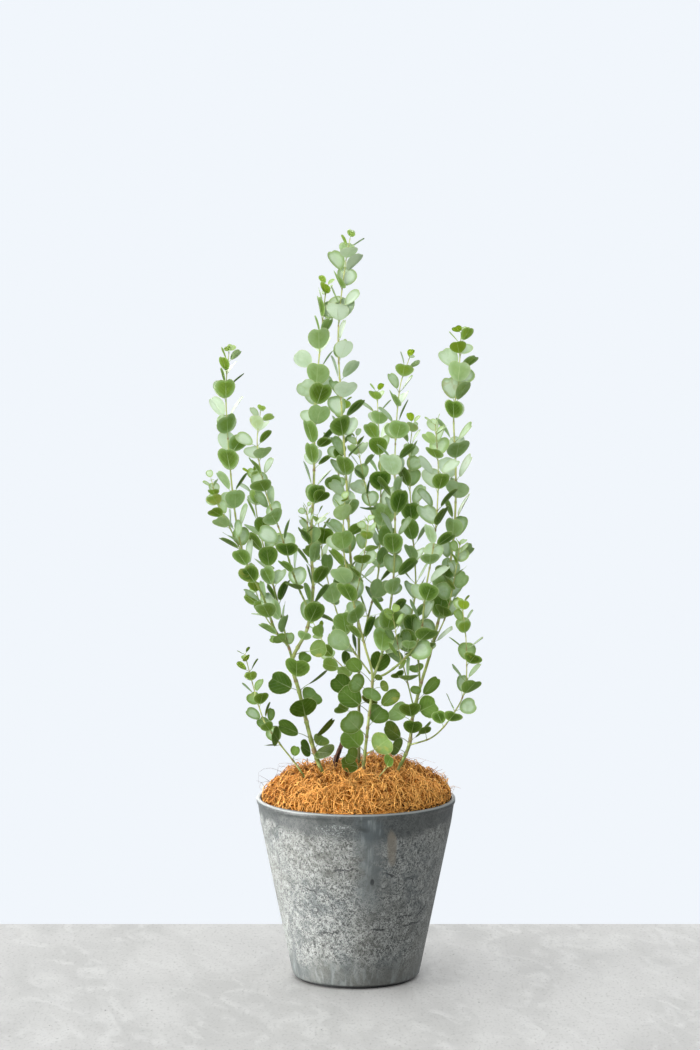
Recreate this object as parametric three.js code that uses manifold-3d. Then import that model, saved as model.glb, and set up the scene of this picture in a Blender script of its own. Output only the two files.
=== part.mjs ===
// A potted round-leaved mallee about a metre tall: several slender leafy stems that stand in
// soil under a heap of coconut fibre, in a tapered round planter of stone-like resin.
//
// Millimetres, +Z up. The origin is on the pot's axis, at the level of the surface that it
// stands on. +X is to the right and -Y towards the viewer of the plant's best side.
//
// Each stem and its forks are a list of routes. Leaves come from one rule: they sit in pairs,
// each pair turned a quarter turn from the last, closer and smaller towards the tip. The large
// leaves low on the plant and those at its forks are placed one by one.

import * as THREE from 'three';
import { mergeVertices } from 'three/addons/utils/BufferGeometryUtils.js';
import Module from 'manifold-3d';

const wasm = await Module();
wasm.setup();

// Pot

const POT_SIDES = 36;
const FOOT_RADIUS = 80;
const FOOT_HEIGHT = 3;
const BODY_FOOT_RADIUS = 87;
const BODY_FOOT_HEIGHT = 6.5;
const SHOULDER_RADIUS = 130.3;
const SHOULDER_HEIGHT = 217;
const NECK_RADIUS = 133.6;
const NECK_HEIGHT = 240;
const LIP_RADIUS = 135.4;
const POT_HEIGHT = 248.6;
const LIP_INNER_RADIUS = 130;
const LIP_DEPTH = 3;
const LIP_EDGE = 1.6;
const UNDERCUT = 3;
const WALL = 4.8;
const FLOOR_HEIGHT = 12;
const FLOOR_RADIUS = 80.5;

// Soil and mulch

const CLEARANCE = 0.35;
const SOIL_EDGE_HEIGHT = 222;
const SOIL_DOME = 42;
const SOIL_RINGS = 2;
const MULCH_EDGE_HEIGHT = 243;
const MULCH_DOME = 41;
const MULCH_SLOPE = 0.05;
const MULCH_SIDES = 36;
const MULCH_RINGS = 7;
const MULCH_TUFT = 2.2;
const DOME_POWER = 2.5;
const FADE_POWER = 6;
const KNOLLS = [
  { x: 40, y: 22, height: 11, radius: 30 },
  { x: 110, y: -4, height: -22, radius: 36 },
  { x: -84, y: 18, height: 6, radius: 26 },
  { x: -28, y: 34, height: -8, radius: 24 },
];
const CLUMP_WAVES = 16;
const CLUMP_LENGTH = 30;
const SHORTEST_CLUMP = 0.6;
const CLUMP_HEIGHT = 3.8;
const UNDERSIDE_HEIGHT = 224;
const UNDERSIDE_GAP = 1.6;
const UNDERSIDE_RINGS = [1, 0.55];
const STRAND_COUNT = 15;
const STRAND_RADIUS = 0.9;
const STRAND_STEPS = 2;
const STRAND_SIDES = 3;
const STRAND_REACH = [0.1, 0.9];
const STRAND_SPAN = [34, 68];
const STRAND_LIFT = [5, 14];
const STRAND_CURL = [-8, 8];
const STRAND_SUNK = 5;
const STRAND_FROM_WALL = 7;
const HOLE_CLEARANCE = 0.6;
const HOLE_TOP = 330;
const ROOTED_BELOW = 252;

// Points closer than this are one point, and lengths below this are nothing

const MERGE_WITHIN = 1e-3;
const ALMOST_NOTHING = 1e-9;

// Stems

const STEM_SIDES = 4;
const STEM_CORNER = 1.2;
const ROUTE_STEPS = 2;
const ROUTE_CLEAR_OF_NODE = 12;
const TAPER_POWER = 0.8;

// Leaves, in millimetres and degrees

const BLADE_THICKNESS = 0.7;
const BLADE_FOLD = 0.12;
const BLADE_CURL = 0.03;
const BLADE_WAIST = 0.17;
const BLADE_NOTCH = 0.05;
const STALK_HALF_WIDTH = 0.6;
const BROAD_CORNERS = [40, 88, 136, 180];
const ROUND_CORNERS = [27, 76, 130, 180];
const YOUNG_CORNERS = [55, 130];
const YOUNG_WIDTH = 17;
const NODE_HALF_HEIGHT = 0.7;
const NODE_APART = 3;
const QUARTER_TURN = 90;
const PAIR_SPACING = 26;
const USUAL_WIDTH = 27;
const SPACING_POWER = 0.5;
const YOUNG_SPACING = 0.5;
const SPACING_GROWTH = 60;
const YOUNG_SIZE = 0.38;
const SIZE_GROWTH = 32;
const LENGTH_TO_WIDTH = 1.04;
const STALK_TO_WIDTH = 0.24;
const SHORTEST_STALK = 2;
const LEAST_STALK = 1;
const YOUNG_LEAN = 44;
const GROWN_LEAN = 29;
const LEAN_SPREAD = 38;
const TURN_SPREAD = 56;
const ROLL_SPREAD = 80;
const SIZE_SPREAD = 0.26;
const PAIRS_COUNTED = 9;
const PAIRS_BUILT = [0, 2, 4, 5, 7];
const SEED = 18;

// How a leaf that would cross another one is bent clear: degrees round the stem, and how much
// it keeps of its lean and of its roll about its midrib.

const BENDS = [0, 18, -18, 36, -36, 54, -54];
const LEAN_KEPT = [1, 0.68, 1.4];
const ROLL_KEPT = [1, 0.3, -0.7];
const REACH_MARGIN = 1.2;
const SIDE_GAP = 2.6;
const NEARLY_LEVEL = 0.12;
const SLANTED = 0.5;
const STEM_GAP = 1;

// Routes of the stems and their forks, from the foot to the tip. wide is the thickness at the
// foot and at the tip, leaf the width of a grown leaf, bare the length with no leaf pairs, and
// turn the angle of the first pair round the stem.

const SHOOTS = {
  left: {
    node: 'stem_left', wide: [6.4, 1.2], leaf: 29, bare: 250, turn: 6,
    route: [[-30, -19, 222], [-41, -20, 272], [-58, -22, 320], [-76, -25, 394], [-86, -26, 439],
      [-66, -24, 483], [-58, -20, 537], [-61, -15, 601], [-57, -8, 676], [-55, 2, 782],
      [-47, 6, 876], [-40, 11, 944]],
  },
  left_outer: {
    node: 'stem_left', wide: [3.6, 1.1], leaf: 28, bare: 36, turn: 84,
    route: [[-86, -26, 439], [-92, -25, 460], [-109, -30, 482], [-125, -38, 528],
      [-149, -45, 580], [-161, -48, 635], [-170, -45, 722], [-174, -38, 804], [-170, -30, 857]],
  },
  left_middle: {
    node: 'stem_left', wide: [3, 1.1], leaf: 28, bare: 26, turn: 20,
    route: [[-92, -25, 460], [-106, 0, 515], [-120, 25, 566], [-134, 45, 623], [-142, 60, 686]],
  },
  left_fork: {
    node: 'stem_left', wide: [2, 1], leaf: 22, bare: 16, turn: 70,
    route: [[-149, -45, 580], [-166, -62, 619], [-184, -80, 660], [-192, -92, 692]],
  },
  left_short: {
    node: 'stem_left', wide: [2, 1], leaf: 22, bare: 14, turn: 0,
    route: [[-109, -30, 482], [-122, -5, 496], [-133, 15, 520], [-148, 30, 562]],
  },
  left_inner: {
    node: 'stem_left', wide: [2.8, 1.1], leaf: 27, bare: 24, turn: 95,
    route: [[-63, -22, 507], [-81, -45, 551], [-100, -70, 616], [-120, -85, 675],
      [-131, -88, 735], [-127, -80, 782]],
  },
  left_bud: {
    node: 'stem_left', wide: [1.8, 1], leaf: 17, bare: 14, turn: 40,
    route: [[-61, -16, 589], [-65, -28, 617], [-66, -38, 649]],
  },
  centre: {
    node: 'stem_centre', wide: [5, 1.1], leaf: 30, bare: 222, turn: 90,
    route: [[4, -38, 224], [8, -40, 279], [16, -44, 353], [22, -46, 419], [12, -52, 463],
      [-4, -62, 527], [-17, -72, 600], [-15, -76, 661]],
  },
  centre_left: {
    node: 'stem_centre', wide: [2.6, 1], leaf: 27, bare: 24, turn: 10,
    route: [[19, -46, 425], [-9, -15, 461], [-29, 20, 509], [-44, 50, 565], [-53, 66, 628]],
  },
  centre_right: {
    node: 'stem_centre', wide: [3.6, 1.1], leaf: 29, bare: 24, turn: 84,
    route: [[22, -46, 419], [35, -40, 451], [43, -30, 492], [51, -15, 556], [53, 0, 644],
      [53, 10, 724], [59, 15, 804], [72, 18, 846]],
  },
  centre_rear: {
    node: 'stem_centre', wide: [3, 1.1], leaf: 29, bare: 32, turn: 0,
    route: [[9, -53, 472], [16, -20, 497], [30, 30, 549], [33, 55, 599], [34, 72, 663],
      [32, 82, 724], [29, 88, 795]],
  },
  centre_rear_fork: {
    node: 'stem_centre', wide: [2, 1], leaf: 24, bare: 24, turn: 60,
    route: [[33, 55, 599], [20, 40, 639], [10, 30, 685], [0, 26, 737]],
  },
  centre_front: {
    node: 'stem_centre', wide: [2, 1], leaf: 25, bare: 20, turn: 80,
    route: [[-3, -61, 523], [4, -80, 554], [13, -100, 606], [16, -108, 637]],
  },
  centre_side: {
    node: 'stem_centre', wide: [3.2, 1.1], leaf: 29, bare: 34, turn: 12,
    route: [[22, -46, 419], [42, -52, 427], [72, -62, 455], [87, -68, 485], [93, -74, 542],
      [105, -84, 617], [109, -92, 697], [105, -96, 766]],
  },
  tall: {
    node: 'stem_tall', wide: [5, 1.2], leaf: 29, bare: 270, turn: 88,
    route: [[4, 16, 224], [4, 15, 276], [4, 15, 384], [3, 14, 490], [-7, 10, 572],
      [-12, 6, 666], [-20, 2, 791], [-24, 0, 882], [-15, 0, 968], [-8, 0, 1008]],
  },
  tall_twin: {
    node: 'stem_tall', wide: [2.2, 1.1], leaf: 24, bare: 18, turn: 30,
    route: [[-9, 7, 620], [-22, 25, 655], [-24, 36, 699], [-23, 42, 751], [-16, 42, 785]],
  },
  tall_low: {
    node: 'stem_tall', wide: [2, 1], leaf: 22, bare: 30, turn: 75,
    route: [[4, 15, 373], [-14, 35, 416], [-36, 55, 438], [-58, 75, 476]],
  },
  right: {
    node: 'stem_right', wide: [5.4, 1.2], leaf: 31, bare: 226, turn: 80,
    route: [[36, -20, 226], [53, -20, 278], [72, -20, 323], [76, -18, 357], [88, -14, 406],
      [102, -10, 453], [123, 0, 542], [133, 5, 614], [135, 8, 690], [132, 10, 770],
      [138, 12, 814], [142, 14, 880]],
  },
  right_rear: {
    node: 'stem_right', wide: [3, 1.1], leaf: 29, bare: 30, turn: 0,
    route: [[87, -14, 403], [84, 10, 441], [75, 35, 480], [82, 60, 532], [77, 80, 618],
      [73, 92, 694], [78, 98, 750]],
  },
  right_fork: {
    node: 'stem_right', wide: [2.2, 1], leaf: 26, bare: 22, turn: 50,
    route: [[104, -9, 459], [123, -30, 507], [134, -48, 566], [139, -55, 600]],
  },
  right_low: {
    node: 'stem_right', wide: [2.2, 1], leaf: 26, bare: 26, turn: 65,
    route: [[79, -17, 371], [66, -40, 426], [57, -56, 461], [49, -80, 510]],
  },
  side_right: {
    node: 'stem_right', wide: [2.4, 1.1], leaf: 25, bare: 74, turn: 10,
    route: [[72, -20, 323], [104, -45, 339], [128, -62, 369], [146, -75, 409], [147, -82, 472],
      [141, -86, 526]],
  },
  small_left: {
    node: 'stem_small_left', wide: [2.8, 1], leaf: 20, bare: 92, turn: 15,
    route: [[-52, -25, 246], [-74, -30, 288], [-103, -38, 328], [-123, -42, 358],
      [-135, -40, 394], [-150, -34, 450]],
  },
  sprig: {
    node: 'stem_sprig', wide: [2.2, 1.2], leaf: 14, bare: 90, turn: 0,
    route: [[20, -54, 244], [30, -60, 284], [48, -72, 308]],
  },
};

// The large low leaves, and smaller ones round the forks: the shoot that each grows on and the
// height at which it leaves it, the middle of its blade, its width and length, and the way its
// face looks.

const LARGE_LEAVES = [
  { on: 'left', from: 356, centre: [-71, -40, 378], size: [38, 34], facing: [0, -1, 0.45] },
  { on: 'left', from: 410, centre: [-80, -37, 432], size: [35, 31], facing: [0.3, 0.8, 0.5] },
  { on: 'left', from: 397, centre: [-102, -24, 409], size: [31, 33], facing: [-0.3, -1, 0.2] },
  { on: 'left', from: 378, centre: [-60, -6, 387], size: [31, 30], facing: [0.2, -1, 0.5] },
  { on: 'left', from: 397, centre: [-51, -28, 418], size: [24, 33], facing: [0.75, -0.25, -0.45] },
  { on: 'left', from: 333, centre: [-92, -34, 348], size: [26, 33], facing: [-0.3, -0.7, 0.8] },
  { on: 'left', from: 328, centre: [-41, -22, 348], size: [18, 35], facing: [0.5, -0.5, -0.6] },
  { on: 'left', from: 314, centre: [-43, -32, 315], size: [32, 28], facing: [0, -0.6, 0.8] },
  { on: 'left', from: 317, centre: [-48, -4, 327], size: [23, 22], facing: [0, -1, 0.3] },
  { on: 'left', from: 306, centre: [-68, -42, 322], size: [24, 27], facing: [-0.2, -0.8, 0.6] },
  { on: 'left', from: 447, centre: [-51, -40, 458], size: [24, 26], facing: [0.3, -0.9, 0.3] },
  { on: 'small_left', from: 325, centre: [-108, -58, 342], size: [28, 27], facing: [-0.1, -0.8, 0.6] },
  { on: 'small_left', from: 304, centre: [-82, -42, 319], size: [13, 18], facing: [0, -1, 0.3] },
  { on: 'centre', from: 338, centre: [-5, -64, 361], size: [35, 37], facing: [-0.1, -1, 0.25] },
  { on: 'centre', from: 371, centre: [-8, -46, 393], size: [31, 34], facing: [-0.1, -1, 0.1] },
  { on: 'tall', from: 379, centre: [-20, 6, 403], size: [28, 31], facing: [-0.3, -1, 0.3] },
  { on: 'centre', from: 317, centre: [-5, -50, 337], size: [33, 33], facing: [-0.4, -0.7, 0.5] },
  { on: 'centre', from: 303, centre: [-6, -66, 317], size: [24, 27], facing: [-0.2, -0.9, 0.3] },
  { on: 'centre', from: 310, centre: [35, -66, 333], size: [34, 35], facing: [0.2, -1, 0.3] },
  { on: 'centre', from: 350, centre: [30, -26, 366], size: [31, 30], facing: [0.1, -1, 0.3] },
  { on: 'centre', from: 367, centre: [46, -46, 392], size: [21, 30], facing: [0.5, -0.9, 0.1] },
  { on: 'centre', from: 412, centre: [21, -65, 400], size: [27, 26], facing: [0.35, -0.5, 0.8] },
  { on: 'centre', from: 397, centre: [1, -66, 415], size: [27, 27], facing: [-0.2, -1, 0.4] },
  { on: 'centre', from: 411, centre: [-2, -56, 438], size: [22, 24], facing: [-0.4, -0.9, 0.2] },
  { on: 'centre', from: 296, centre: [-9, -50, 301], size: [24, 26], facing: [-0.1, -0.8, 0.6] },
  { on: 'centre_left', from: 451, centre: [-23, -24, 467], size: [27, 33], facing: [0, -1, 0.3] },
  { on: 'right', from: 325, centre: [49, -38, 345], size: [27, 34], facing: [-0.3, -0.7, 0.6] },
  { on: 'right', from: 311, centre: [54, -46, 325], size: [26, 27], facing: [-0.1, -1, 0.3] },
  { on: 'right', from: 356, centre: [73, -32, 374], size: [30, 28], facing: [0, 0.84, 0.54] },
  { on: 'right', from: 365, centre: [98, -30, 377], size: [33, 30], facing: [0.3, -1, 0.3] },
  { on: 'right', from: 355, centre: [57, 4, 364], size: [31, 31], facing: [-0.1, -1, 0.4] },
  { on: 'right', from: 331, centre: [77, -31, 350], size: [26, 24], facing: [0, 0.84, 0.5] },
  { on: 'right', from: 380, centre: [102, -18, 404], size: [18, 31], facing: [0.5, -0.9, 0.1] },
  { on: 'right', from: 326, centre: [92, -14, 344], size: [12, 33], facing: [0.5, -0.5, -0.7] },
  { on: 'right', from: 382, centre: [81, -36, 401], size: [15, 20], facing: [-0.1, -1, 0.2] },
  { on: 'sprig', from: 297, centre: [44, -80, 312], size: [17, 22], facing: [-0.2, -0.9, 0.4] },
  { on: 'side_right', from: 358, centre: [129, -72, 371], size: [26, 24], facing: [0.1, 0.75, 0.6] },
  { on: 'side_right', from: 354, centre: [112, -58, 368], size: [20, 20], facing: [0, 0.81, 0.59] },
  { on: 'side_right', from: 334, centre: [93, -58, 350], size: [18, 19], facing: [0, -1, 0.4] },
  { on: 'left_outer', from: 456, centre: [-103, -40, 472], size: [19, 17], facing: [-0.3, -1, 0.3] },
  { on: 'left_outer', from: 452, centre: [-90, -16, 469], size: [14, 18], facing: [0, -1, 0.3] },
  { on: 'left_outer', from: 462, centre: [-111, -20, 468], size: [10, 13], facing: [-0.4, -1, 0.2] },
  { on: 'left', from: 458, centre: [-70, -42, 476], size: [19, 18], facing: [0.2, 0.8, 0.5] },
  { on: 'left', from: 425, centre: [-70, -8, 441], size: [18, 19], facing: [0, -1, 0.3] },
  { on: 'left', from: 828, centre: [-71, -2, 846], size: [23, 27], facing: [-0.3, -1, 0.2] },
  { on: 'left', from: 790, centre: [-67, -4, 807], size: [27, 25], facing: [-0.3, -1, 0.2] },
  { on: 'left', from: 722, centre: [-43, -14, 735], size: [20, 22], facing: [-0.3, 0.8, 0.5] },
  { on: 'left', from: 698, centre: [-42, -12, 711], size: [14, 22], facing: [-0.7, 0.6, 0.3] },
  { on: 'left', from: 648, centre: [-47, -19, 663], size: [23, 22], facing: [-0.2, 0.8, 0.5] },
  { on: 'centre', from: 405, centre: [32, -22, 438], size: [27, 32], facing: [0, -1, 0.2] },
  { on: 'centre', from: 410, centre: [30, -60, 422], size: [11, 13], facing: [0.2, -1, 0.2] },
  { on: 'centre', from: 402, centre: [38, -64, 411], size: [16, 16], facing: [0.2, -1, 0.2] },
  { on: 'small_left', from: 350, centre: [-115, -30, 367], size: [12, 20], facing: [0.5, -0.9, 0.2] },
  { on: 'centre_side', from: 443, centre: [50, -63, 461], size: [18, 24], facing: [-0.9, -0.4, 0.1] },
  { on: 'centre_side', from: 452, centre: [71, -76, 469], size: [20, 19], facing: [0, 0.7, 0.7] },
  { on: 'tall', from: 372, centre: [18, -2, 382], size: [24, 20], facing: [0.2, 0.7, 0.6] },
  { on: 'tall', from: 358, centre: [-19, -4, 371], size: [22, 22], facing: [-0.3, 0.8, 0.5] },
  { on: 'right', from: 446, centre: [98, -32, 462], size: [19, 17], facing: [0, 0.7, 0.6] },
  { on: 'right', from: 406, centre: [82, 10, 424], size: [21, 17], facing: [0, -1, 0.3] },
  { on: 'centre_side', from: 434, centre: [62, -68, 440], size: [17, 13], facing: [0.1, -0.7, 0.6] },
  { on: 'right_low', from: 408, centre: [56, -56, 425], size: [19, 17], facing: [-0.2, 0.7, 0.6] },
  { on: 'right_rear', from: 436, centre: [75, -4, 446], size: [16, 13], facing: [0, 0.7, 0.6] },
];

// The dead stub, from its foot to its broken top, with its thickness

const STUB_SIDES = 6;
const STUB = {
  wide: [8.5, 6], turn: 0, route: [[-46, -2, 238], [-33, 0, 280], [-26, 3, 302], [-18, 4, 324]],
};

// A number from 0 to 1 that depends only on its own three counts, so that every draw is the
// same each time. What isn't a shoot draws under a number of its own.

const TUFT_DRAW = 90;
const STRAND_DRAW = 91;
const CLUMP_DRAW = 92;
const FULL_TURN = [0, 2 * Math.PI];
const SHOOT_STEP = 7919;
const LEAF_STEP = 10473;
const PURPOSE_STEP = 1299709;
const MIX_FIRST = 0x2c1b3c6d;
const MIX_SECOND = 0x297a2d39;

function draw(shoot, leaf, purpose) {
  let mix = (SEED + shoot * SHOOT_STEP + leaf * LEAF_STEP + purpose * PURPOSE_STEP) >>> 0;
  mix = Math.imul(mix ^ (mix >>> 15), MIX_FIRST);
  mix = Math.imul(mix ^ (mix >>> 12), MIX_SECOND);
  return ((mix ^ (mix >>> 15)) >>> 0) / 2 ** 32;
}

const spread = (amount, shoot, leaf, purpose) => amount * (draw(shoot, leaf, purpose) - 0.5);
const vector = ([x, y, z]) => new THREE.Vector3(x, y, z);
const radians = THREE.MathUtils.degToRad;

// Solids

function solidOf(positions, triangles) {
  return new wasm.Manifold(new wasm.Mesh({
    numProp: 3,
    vertProperties: new Float32Array(positions),
    triVerts: new Uint32Array(triangles),
  }));
}

// A geometry's shared vertices are merged and the flat triangles at a pole are left out.

function solidFrom(geometry) {
  const bare = geometry.clone();
  bare.deleteAttribute('normal');
  bare.deleteAttribute('uv');
  const merged = mergeVertices(bare, MERGE_WITHIN);
  const index = Array.from(merged.index.array);
  const triangles = [];
  for (let i = 0; i < index.length; i += 3) {
    const [a, b, c] = index.slice(i, i + 3);
    if (a !== b && b !== c && c !== a) triangles.push(a, b, c);
  }
  return solidOf(merged.attributes.position.array, triangles);
}

function geometryOf(solid) {
  const mesh = solid.getMesh();
  const geometry = new THREE.BufferGeometry();
  geometry.setAttribute('position', new THREE.BufferAttribute(mesh.vertProperties, mesh.numProp));
  geometry.setIndex(new THREE.BufferAttribute(mesh.triVerts, 1));
  return geometry;
}

function largestBody(solid) {
  return solid.decompose().reduce((a, b) => (b.volume() > a.volume() ? b : a));
}

function turned(profile, sides) {
  return solidFrom(new THREE.LatheGeometry(profile.map(([r, h]) => new THREE.Vector2(r, h)), sides)
    .rotateX(Math.PI / 2));
}

// A route is a smooth curve through its points, kept as many short straight steps with the
// length up to each.

function trace(points) {
  const curve = new THREE.CatmullRomCurve3(points.map(vector), false, 'catmullrom', 0.5);
  const steps = curve.getPoints((points.length - 1) * ROUTE_STEPS);
  const lengths = [0];
  for (let i = 1; i < steps.length; i += 1) {
    lengths.push(lengths[i - 1] + steps[i].distanceTo(steps[i - 1]));
  }
  return { steps, lengths, total: lengths[lengths.length - 1] };
}

function placeAt(traced, length) {
  const { steps, lengths } = traced;
  let i = 1;
  while (i < steps.length - 1 && lengths[i] < length) i += 1;
  const share = (length - lengths[i - 1]) / (lengths[i] - lengths[i - 1]);
  const point = steps[i - 1].clone().lerp(steps[i], share);
  const tangent = steps[i].clone().sub(steps[i - 1]).normalize();
  return { point, tangent };
}

// How thick a stem is at a share of its length from its foot.

const thicknessAt = ([foot, tip], share) => tip + (foot - tip) * (1 - share) ** TAPER_POWER;

// A ring of corners round a stem at a length along it. The first face looks the way of turn.

function ringAt(traced, length, wide, turn, sides, grown = 0) {
  const { point, tangent } = placeAt(traced, length);
  const radius = (thicknessAt(wide, length / traced.total) / 2) * STEM_CORNER + grown;
  const right = new THREE.Vector3(1, 0, 0).addScaledVector(tangent, -tangent.x).normalize();
  const back = tangent.clone().cross(right);
  const corners = [];
  for (let k = 0; k < sides; k += 1) {
    const angle = radians(turn) + (2 * Math.PI * (k + 0.5)) / sides;
    corners.push(point.clone()
      .addScaledVector(right, radius * Math.cos(angle))
      .addScaledVector(back, radius * Math.sin(angle)));
  }
  return corners;
}

// A stem as bands between rings. open(ring, face) says which faces are left out of the band
// above a ring, because a leaf grows there.

function bands(positions, triangles, rings, sides, open = () => false) {
  const first = positions.length;
  rings.forEach((ring) => positions.push(...ring));
  for (let i = 0; i < rings.length - 1; i += 1) {
    for (let k = 0; k < sides; k += 1) {
      const next = (k + 1) % sides;
      const [a, b] = [first + i * sides + k, first + i * sides + next];
      if (!open(i, k)) triangles.push(a, b, b + sides, a, b + sides, a + sides);
    }
  }
  const top = first + (rings.length - 1) * sides;
  for (let k = 1; k < sides - 1; k += 1) {
    triangles.push(first, first + k + 1, first + k, top, top + k, top + k + 1);
  }
}

const flat = (positions) => positions.flatMap((point) => point.toArray());

function tube(points, wide, sides) {
  const traced = trace(points);
  const rings = traced.lengths.map((length) => ringAt(traced, length, wide, 0, sides));
  const [positions, triangles] = [[], []];
  bands(positions, triangles, rings, sides);
  return solidOf(flat(positions), triangles);
}

// The plain hole that a stem stands in: the stem's own lower end, a little wider and deeper.

function hole({ route, wide, turn }, sides) {
  const traced = trace(route);
  const lengths = traced.lengths.filter((_, i) => i < 2 || traced.steps[i - 1].z < HOLE_TOP);
  const rings = lengths.map((length) => ringAt(traced, length, wide, turn, sides, HOLE_CLEARANCE));
  const down = placeAt(traced, 0).tangent.multiplyScalar(-HOLE_CLEARANCE);
  rings[0].forEach((corner) => corner.add(down));
  const [positions, triangles] = [[], []];
  bands(positions, triangles, rings, sides);
  return solidOf(flat(positions), triangles);
}

// Leaves. Each is a stalk that leaves the stem's axis at root, a blade along its midrib, and
// the direction that its upper face looks.

function leafOn(shoot, at, root, along, facing, width, length, stalk) {
  const normal = facing.clone().addScaledVector(along, -facing.dot(along)).normalize();
  const middle = root.clone().addScaledVector(along, stalk + length / 2);
  const reach = Math.max(width, length) / 2 + REACH_MARGIN;
  return { shoot, at, root, along, normal, middle, reach, width, length, stalk };
}

function largeLeaf({ on, from, centre, size, facing }) {
  const { steps, lengths } = TRACES[on];
  const upTo = steps.findIndex((point) => point.z >= from);
  const share = (from - steps[upTo - 1].z) / (steps[upTo].z - steps[upTo - 1].z);
  const root = steps[upTo - 1].clone().lerp(steps[upTo], share);
  const at = THREE.MathUtils.lerp(lengths[upTo - 1], lengths[upTo], share);
  const along = vector(centre).sub(root);
  const stalk = Math.max(along.length() - size[1] / 2, LEAST_STALK);
  along.normalize();
  return leafOn(on, at, root, along, vector(facing), size[0], size[1], stalk);
}

function pairedLeaf(on, at, turn, lean, roll, width, side) {
  const { point, tangent } = placeAt(TRACES[on], at);
  const right = new THREE.Vector3(1, 0, 0).addScaledVector(tangent, -tangent.x).normalize();
  const back = tangent.clone().cross(right);
  const angle = radians(turn + side * 180);
  const out = right.multiplyScalar(Math.cos(angle)).addScaledVector(back, Math.sin(angle));
  const tilt = radians(lean);
  const along = tangent.clone().multiplyScalar(Math.cos(tilt)).addScaledVector(out, Math.sin(tilt));
  const facing = tangent.clone().addScaledVector(along, -tangent.dot(along)).normalize()
    .applyAxisAngle(along, radians(roll));
  const length = width * LENGTH_TO_WIDTH;
  const stalk = width * STALK_TO_WIDTH + SHORTEST_STALK;
  return leafOn(on, at, point, along, facing, width, length, stalk);
}

// Two round blades cross where the chords that they cut from the line common to their planes
// overlap. Blades that are nearly level with each other cross when they are closer than their
// folds are high.

function bladesCross(a, b) {
  const apart = b.middle.clone().sub(a.middle);
  if (apart.length() > a.reach + b.reach) return false;
  const line = a.normal.clone().cross(b.normal);
  const slant = line.length();
  const overA = Math.abs(apart.dot(a.normal));
  const overB = Math.abs(apart.dot(b.normal));
  if (Math.min(overA, overB) < SIDE_GAP && slant < SLANTED) return true;
  if (slant < NEARLY_LEVEL) return false;
  const [downA, downB] = [overB / slant, overA / slant];
  if (downA >= a.reach || downB >= b.reach) return false;
  const chords = Math.sqrt(a.reach ** 2 - downA ** 2) + Math.sqrt(b.reach ** 2 - downB ** 2);
  return Math.abs(apart.dot(line)) / slant < chords;
}

// A straight stretch of stem or stalk crosses a blade where it comes through the blade's plane
// within its reach.

function stretchCrosses(leaf, from, to, radius) {
  const before = from.clone().sub(leaf.middle).dot(leaf.normal);
  const after = to.clone().sub(leaf.middle).dot(leaf.normal);
  const near = Math.min(Math.abs(before), Math.abs(after)) < radius + STEM_GAP;
  if (before * after > 0 && !near) return false;
  const share = before * after > 0
    ? Number(Math.abs(after) < Math.abs(before))
    : Math.abs(before) / (Math.abs(before) + Math.abs(after) + ALMOST_NOTHING);
  return from.clone().lerp(to, share).distanceTo(leaf.middle) < leaf.reach + radius;
}

function stemCrosses(leaf, on) {
  const { steps, total, lengths } = TRACES[on];
  for (let i = 1; i < steps.length; i += 1) {
    const radius = thicknessAt(SHOOTS[on].wide, lengths[i] / total) / 2;
    if (stretchCrosses(leaf, steps[i - 1], steps[i], radius)) return true;
  }
  return false;
}

function stalkEnd(leaf) {
  return leaf.root.clone().addScaledVector(leaf.along, leaf.stalk);
}

function isClear(leaf, placed) {
  if (Object.keys(SHOOTS).some((on) => on !== leaf.shoot && stemCrosses(leaf, on))) return false;
  return !placed.some((other) => bladesCross(leaf, other)
    || stretchCrosses(leaf, other.root, stalkEnd(other), STALK_HALF_WIDTH)
    || stretchCrosses(other, leaf.root, stalkEnd(leaf), STALK_HALF_WIDTH));
}

// Every mix of the bends, in the order in which they are tried

const WAYS_CLEAR = LEAN_KEPT.flatMap((lean) => ROLL_KEPT.flatMap((roll) => (
  BENDS.map((bend) => ({ bend, lean, roll })))));

// Which pairs are built: the tip's pair always, and five of each nine from there down.

const isBuilt = (pair) => PAIRS_BUILT.includes(pair % PAIRS_COUNTED);

// The pairs of one shoot, from its tip down to its bare foot. A leaf that would cross what is
// there already is bent clear, and is left out where no bend clears it.

function addPairs(on, number, placed) {
  const { leaf, bare, turn } = SHOOTS[on];
  const traced = TRACES[on];
  let fromTip = 1;
  for (let pair = 0; fromTip < traced.total - bare; pair += 1) {
    const at = traced.total - fromTip;
    const size = YOUNG_SIZE + (1 - YOUNG_SIZE) * (1 - Math.exp(-fromTip / SIZE_GROWTH));
    const grown = 1 - Math.exp(-fromTip / SPACING_GROWTH);
    const pairTurn = turn + QUARTER_TURN * pair + spread(TURN_SPREAD, number, pair, 1);
    for (const side of [0, 1]) {
      const width = leaf * size * (1 + spread(SIZE_SPREAD, number, pair, 2 + side));
      const lean = YOUNG_LEAN + (GROWN_LEAN - YOUNG_LEAN) * grown
        + spread(LEAN_SPREAD, number, pair, 4 + side);
      const roll = spread(ROLL_SPREAD, number, pair, 6 + side);
      const found = WAYS_CLEAR
        .map(({ bend, lean: leanKept, roll: rollKept }) => (
          pairedLeaf(on, at, pairTurn + bend, lean * leanKept, roll * rollKept, width, side)))
        .find((candidate) => isClear(candidate, placed));
      if (found) placed.push({ ...found, pair, built: isBuilt(pair) });
    }
    fromTip += PAIR_SPACING * (leaf / USUAL_WIDTH) ** SPACING_POWER
      * (YOUNG_SPACING + (1 - YOUNG_SPACING) * grown);
  }
}

// A blade's outline: round, a little wider past its middle, notched at its tip. The corner at
// angle 0 is where the stalk meets it. The points run from one side of the stalk to the other.

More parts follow.
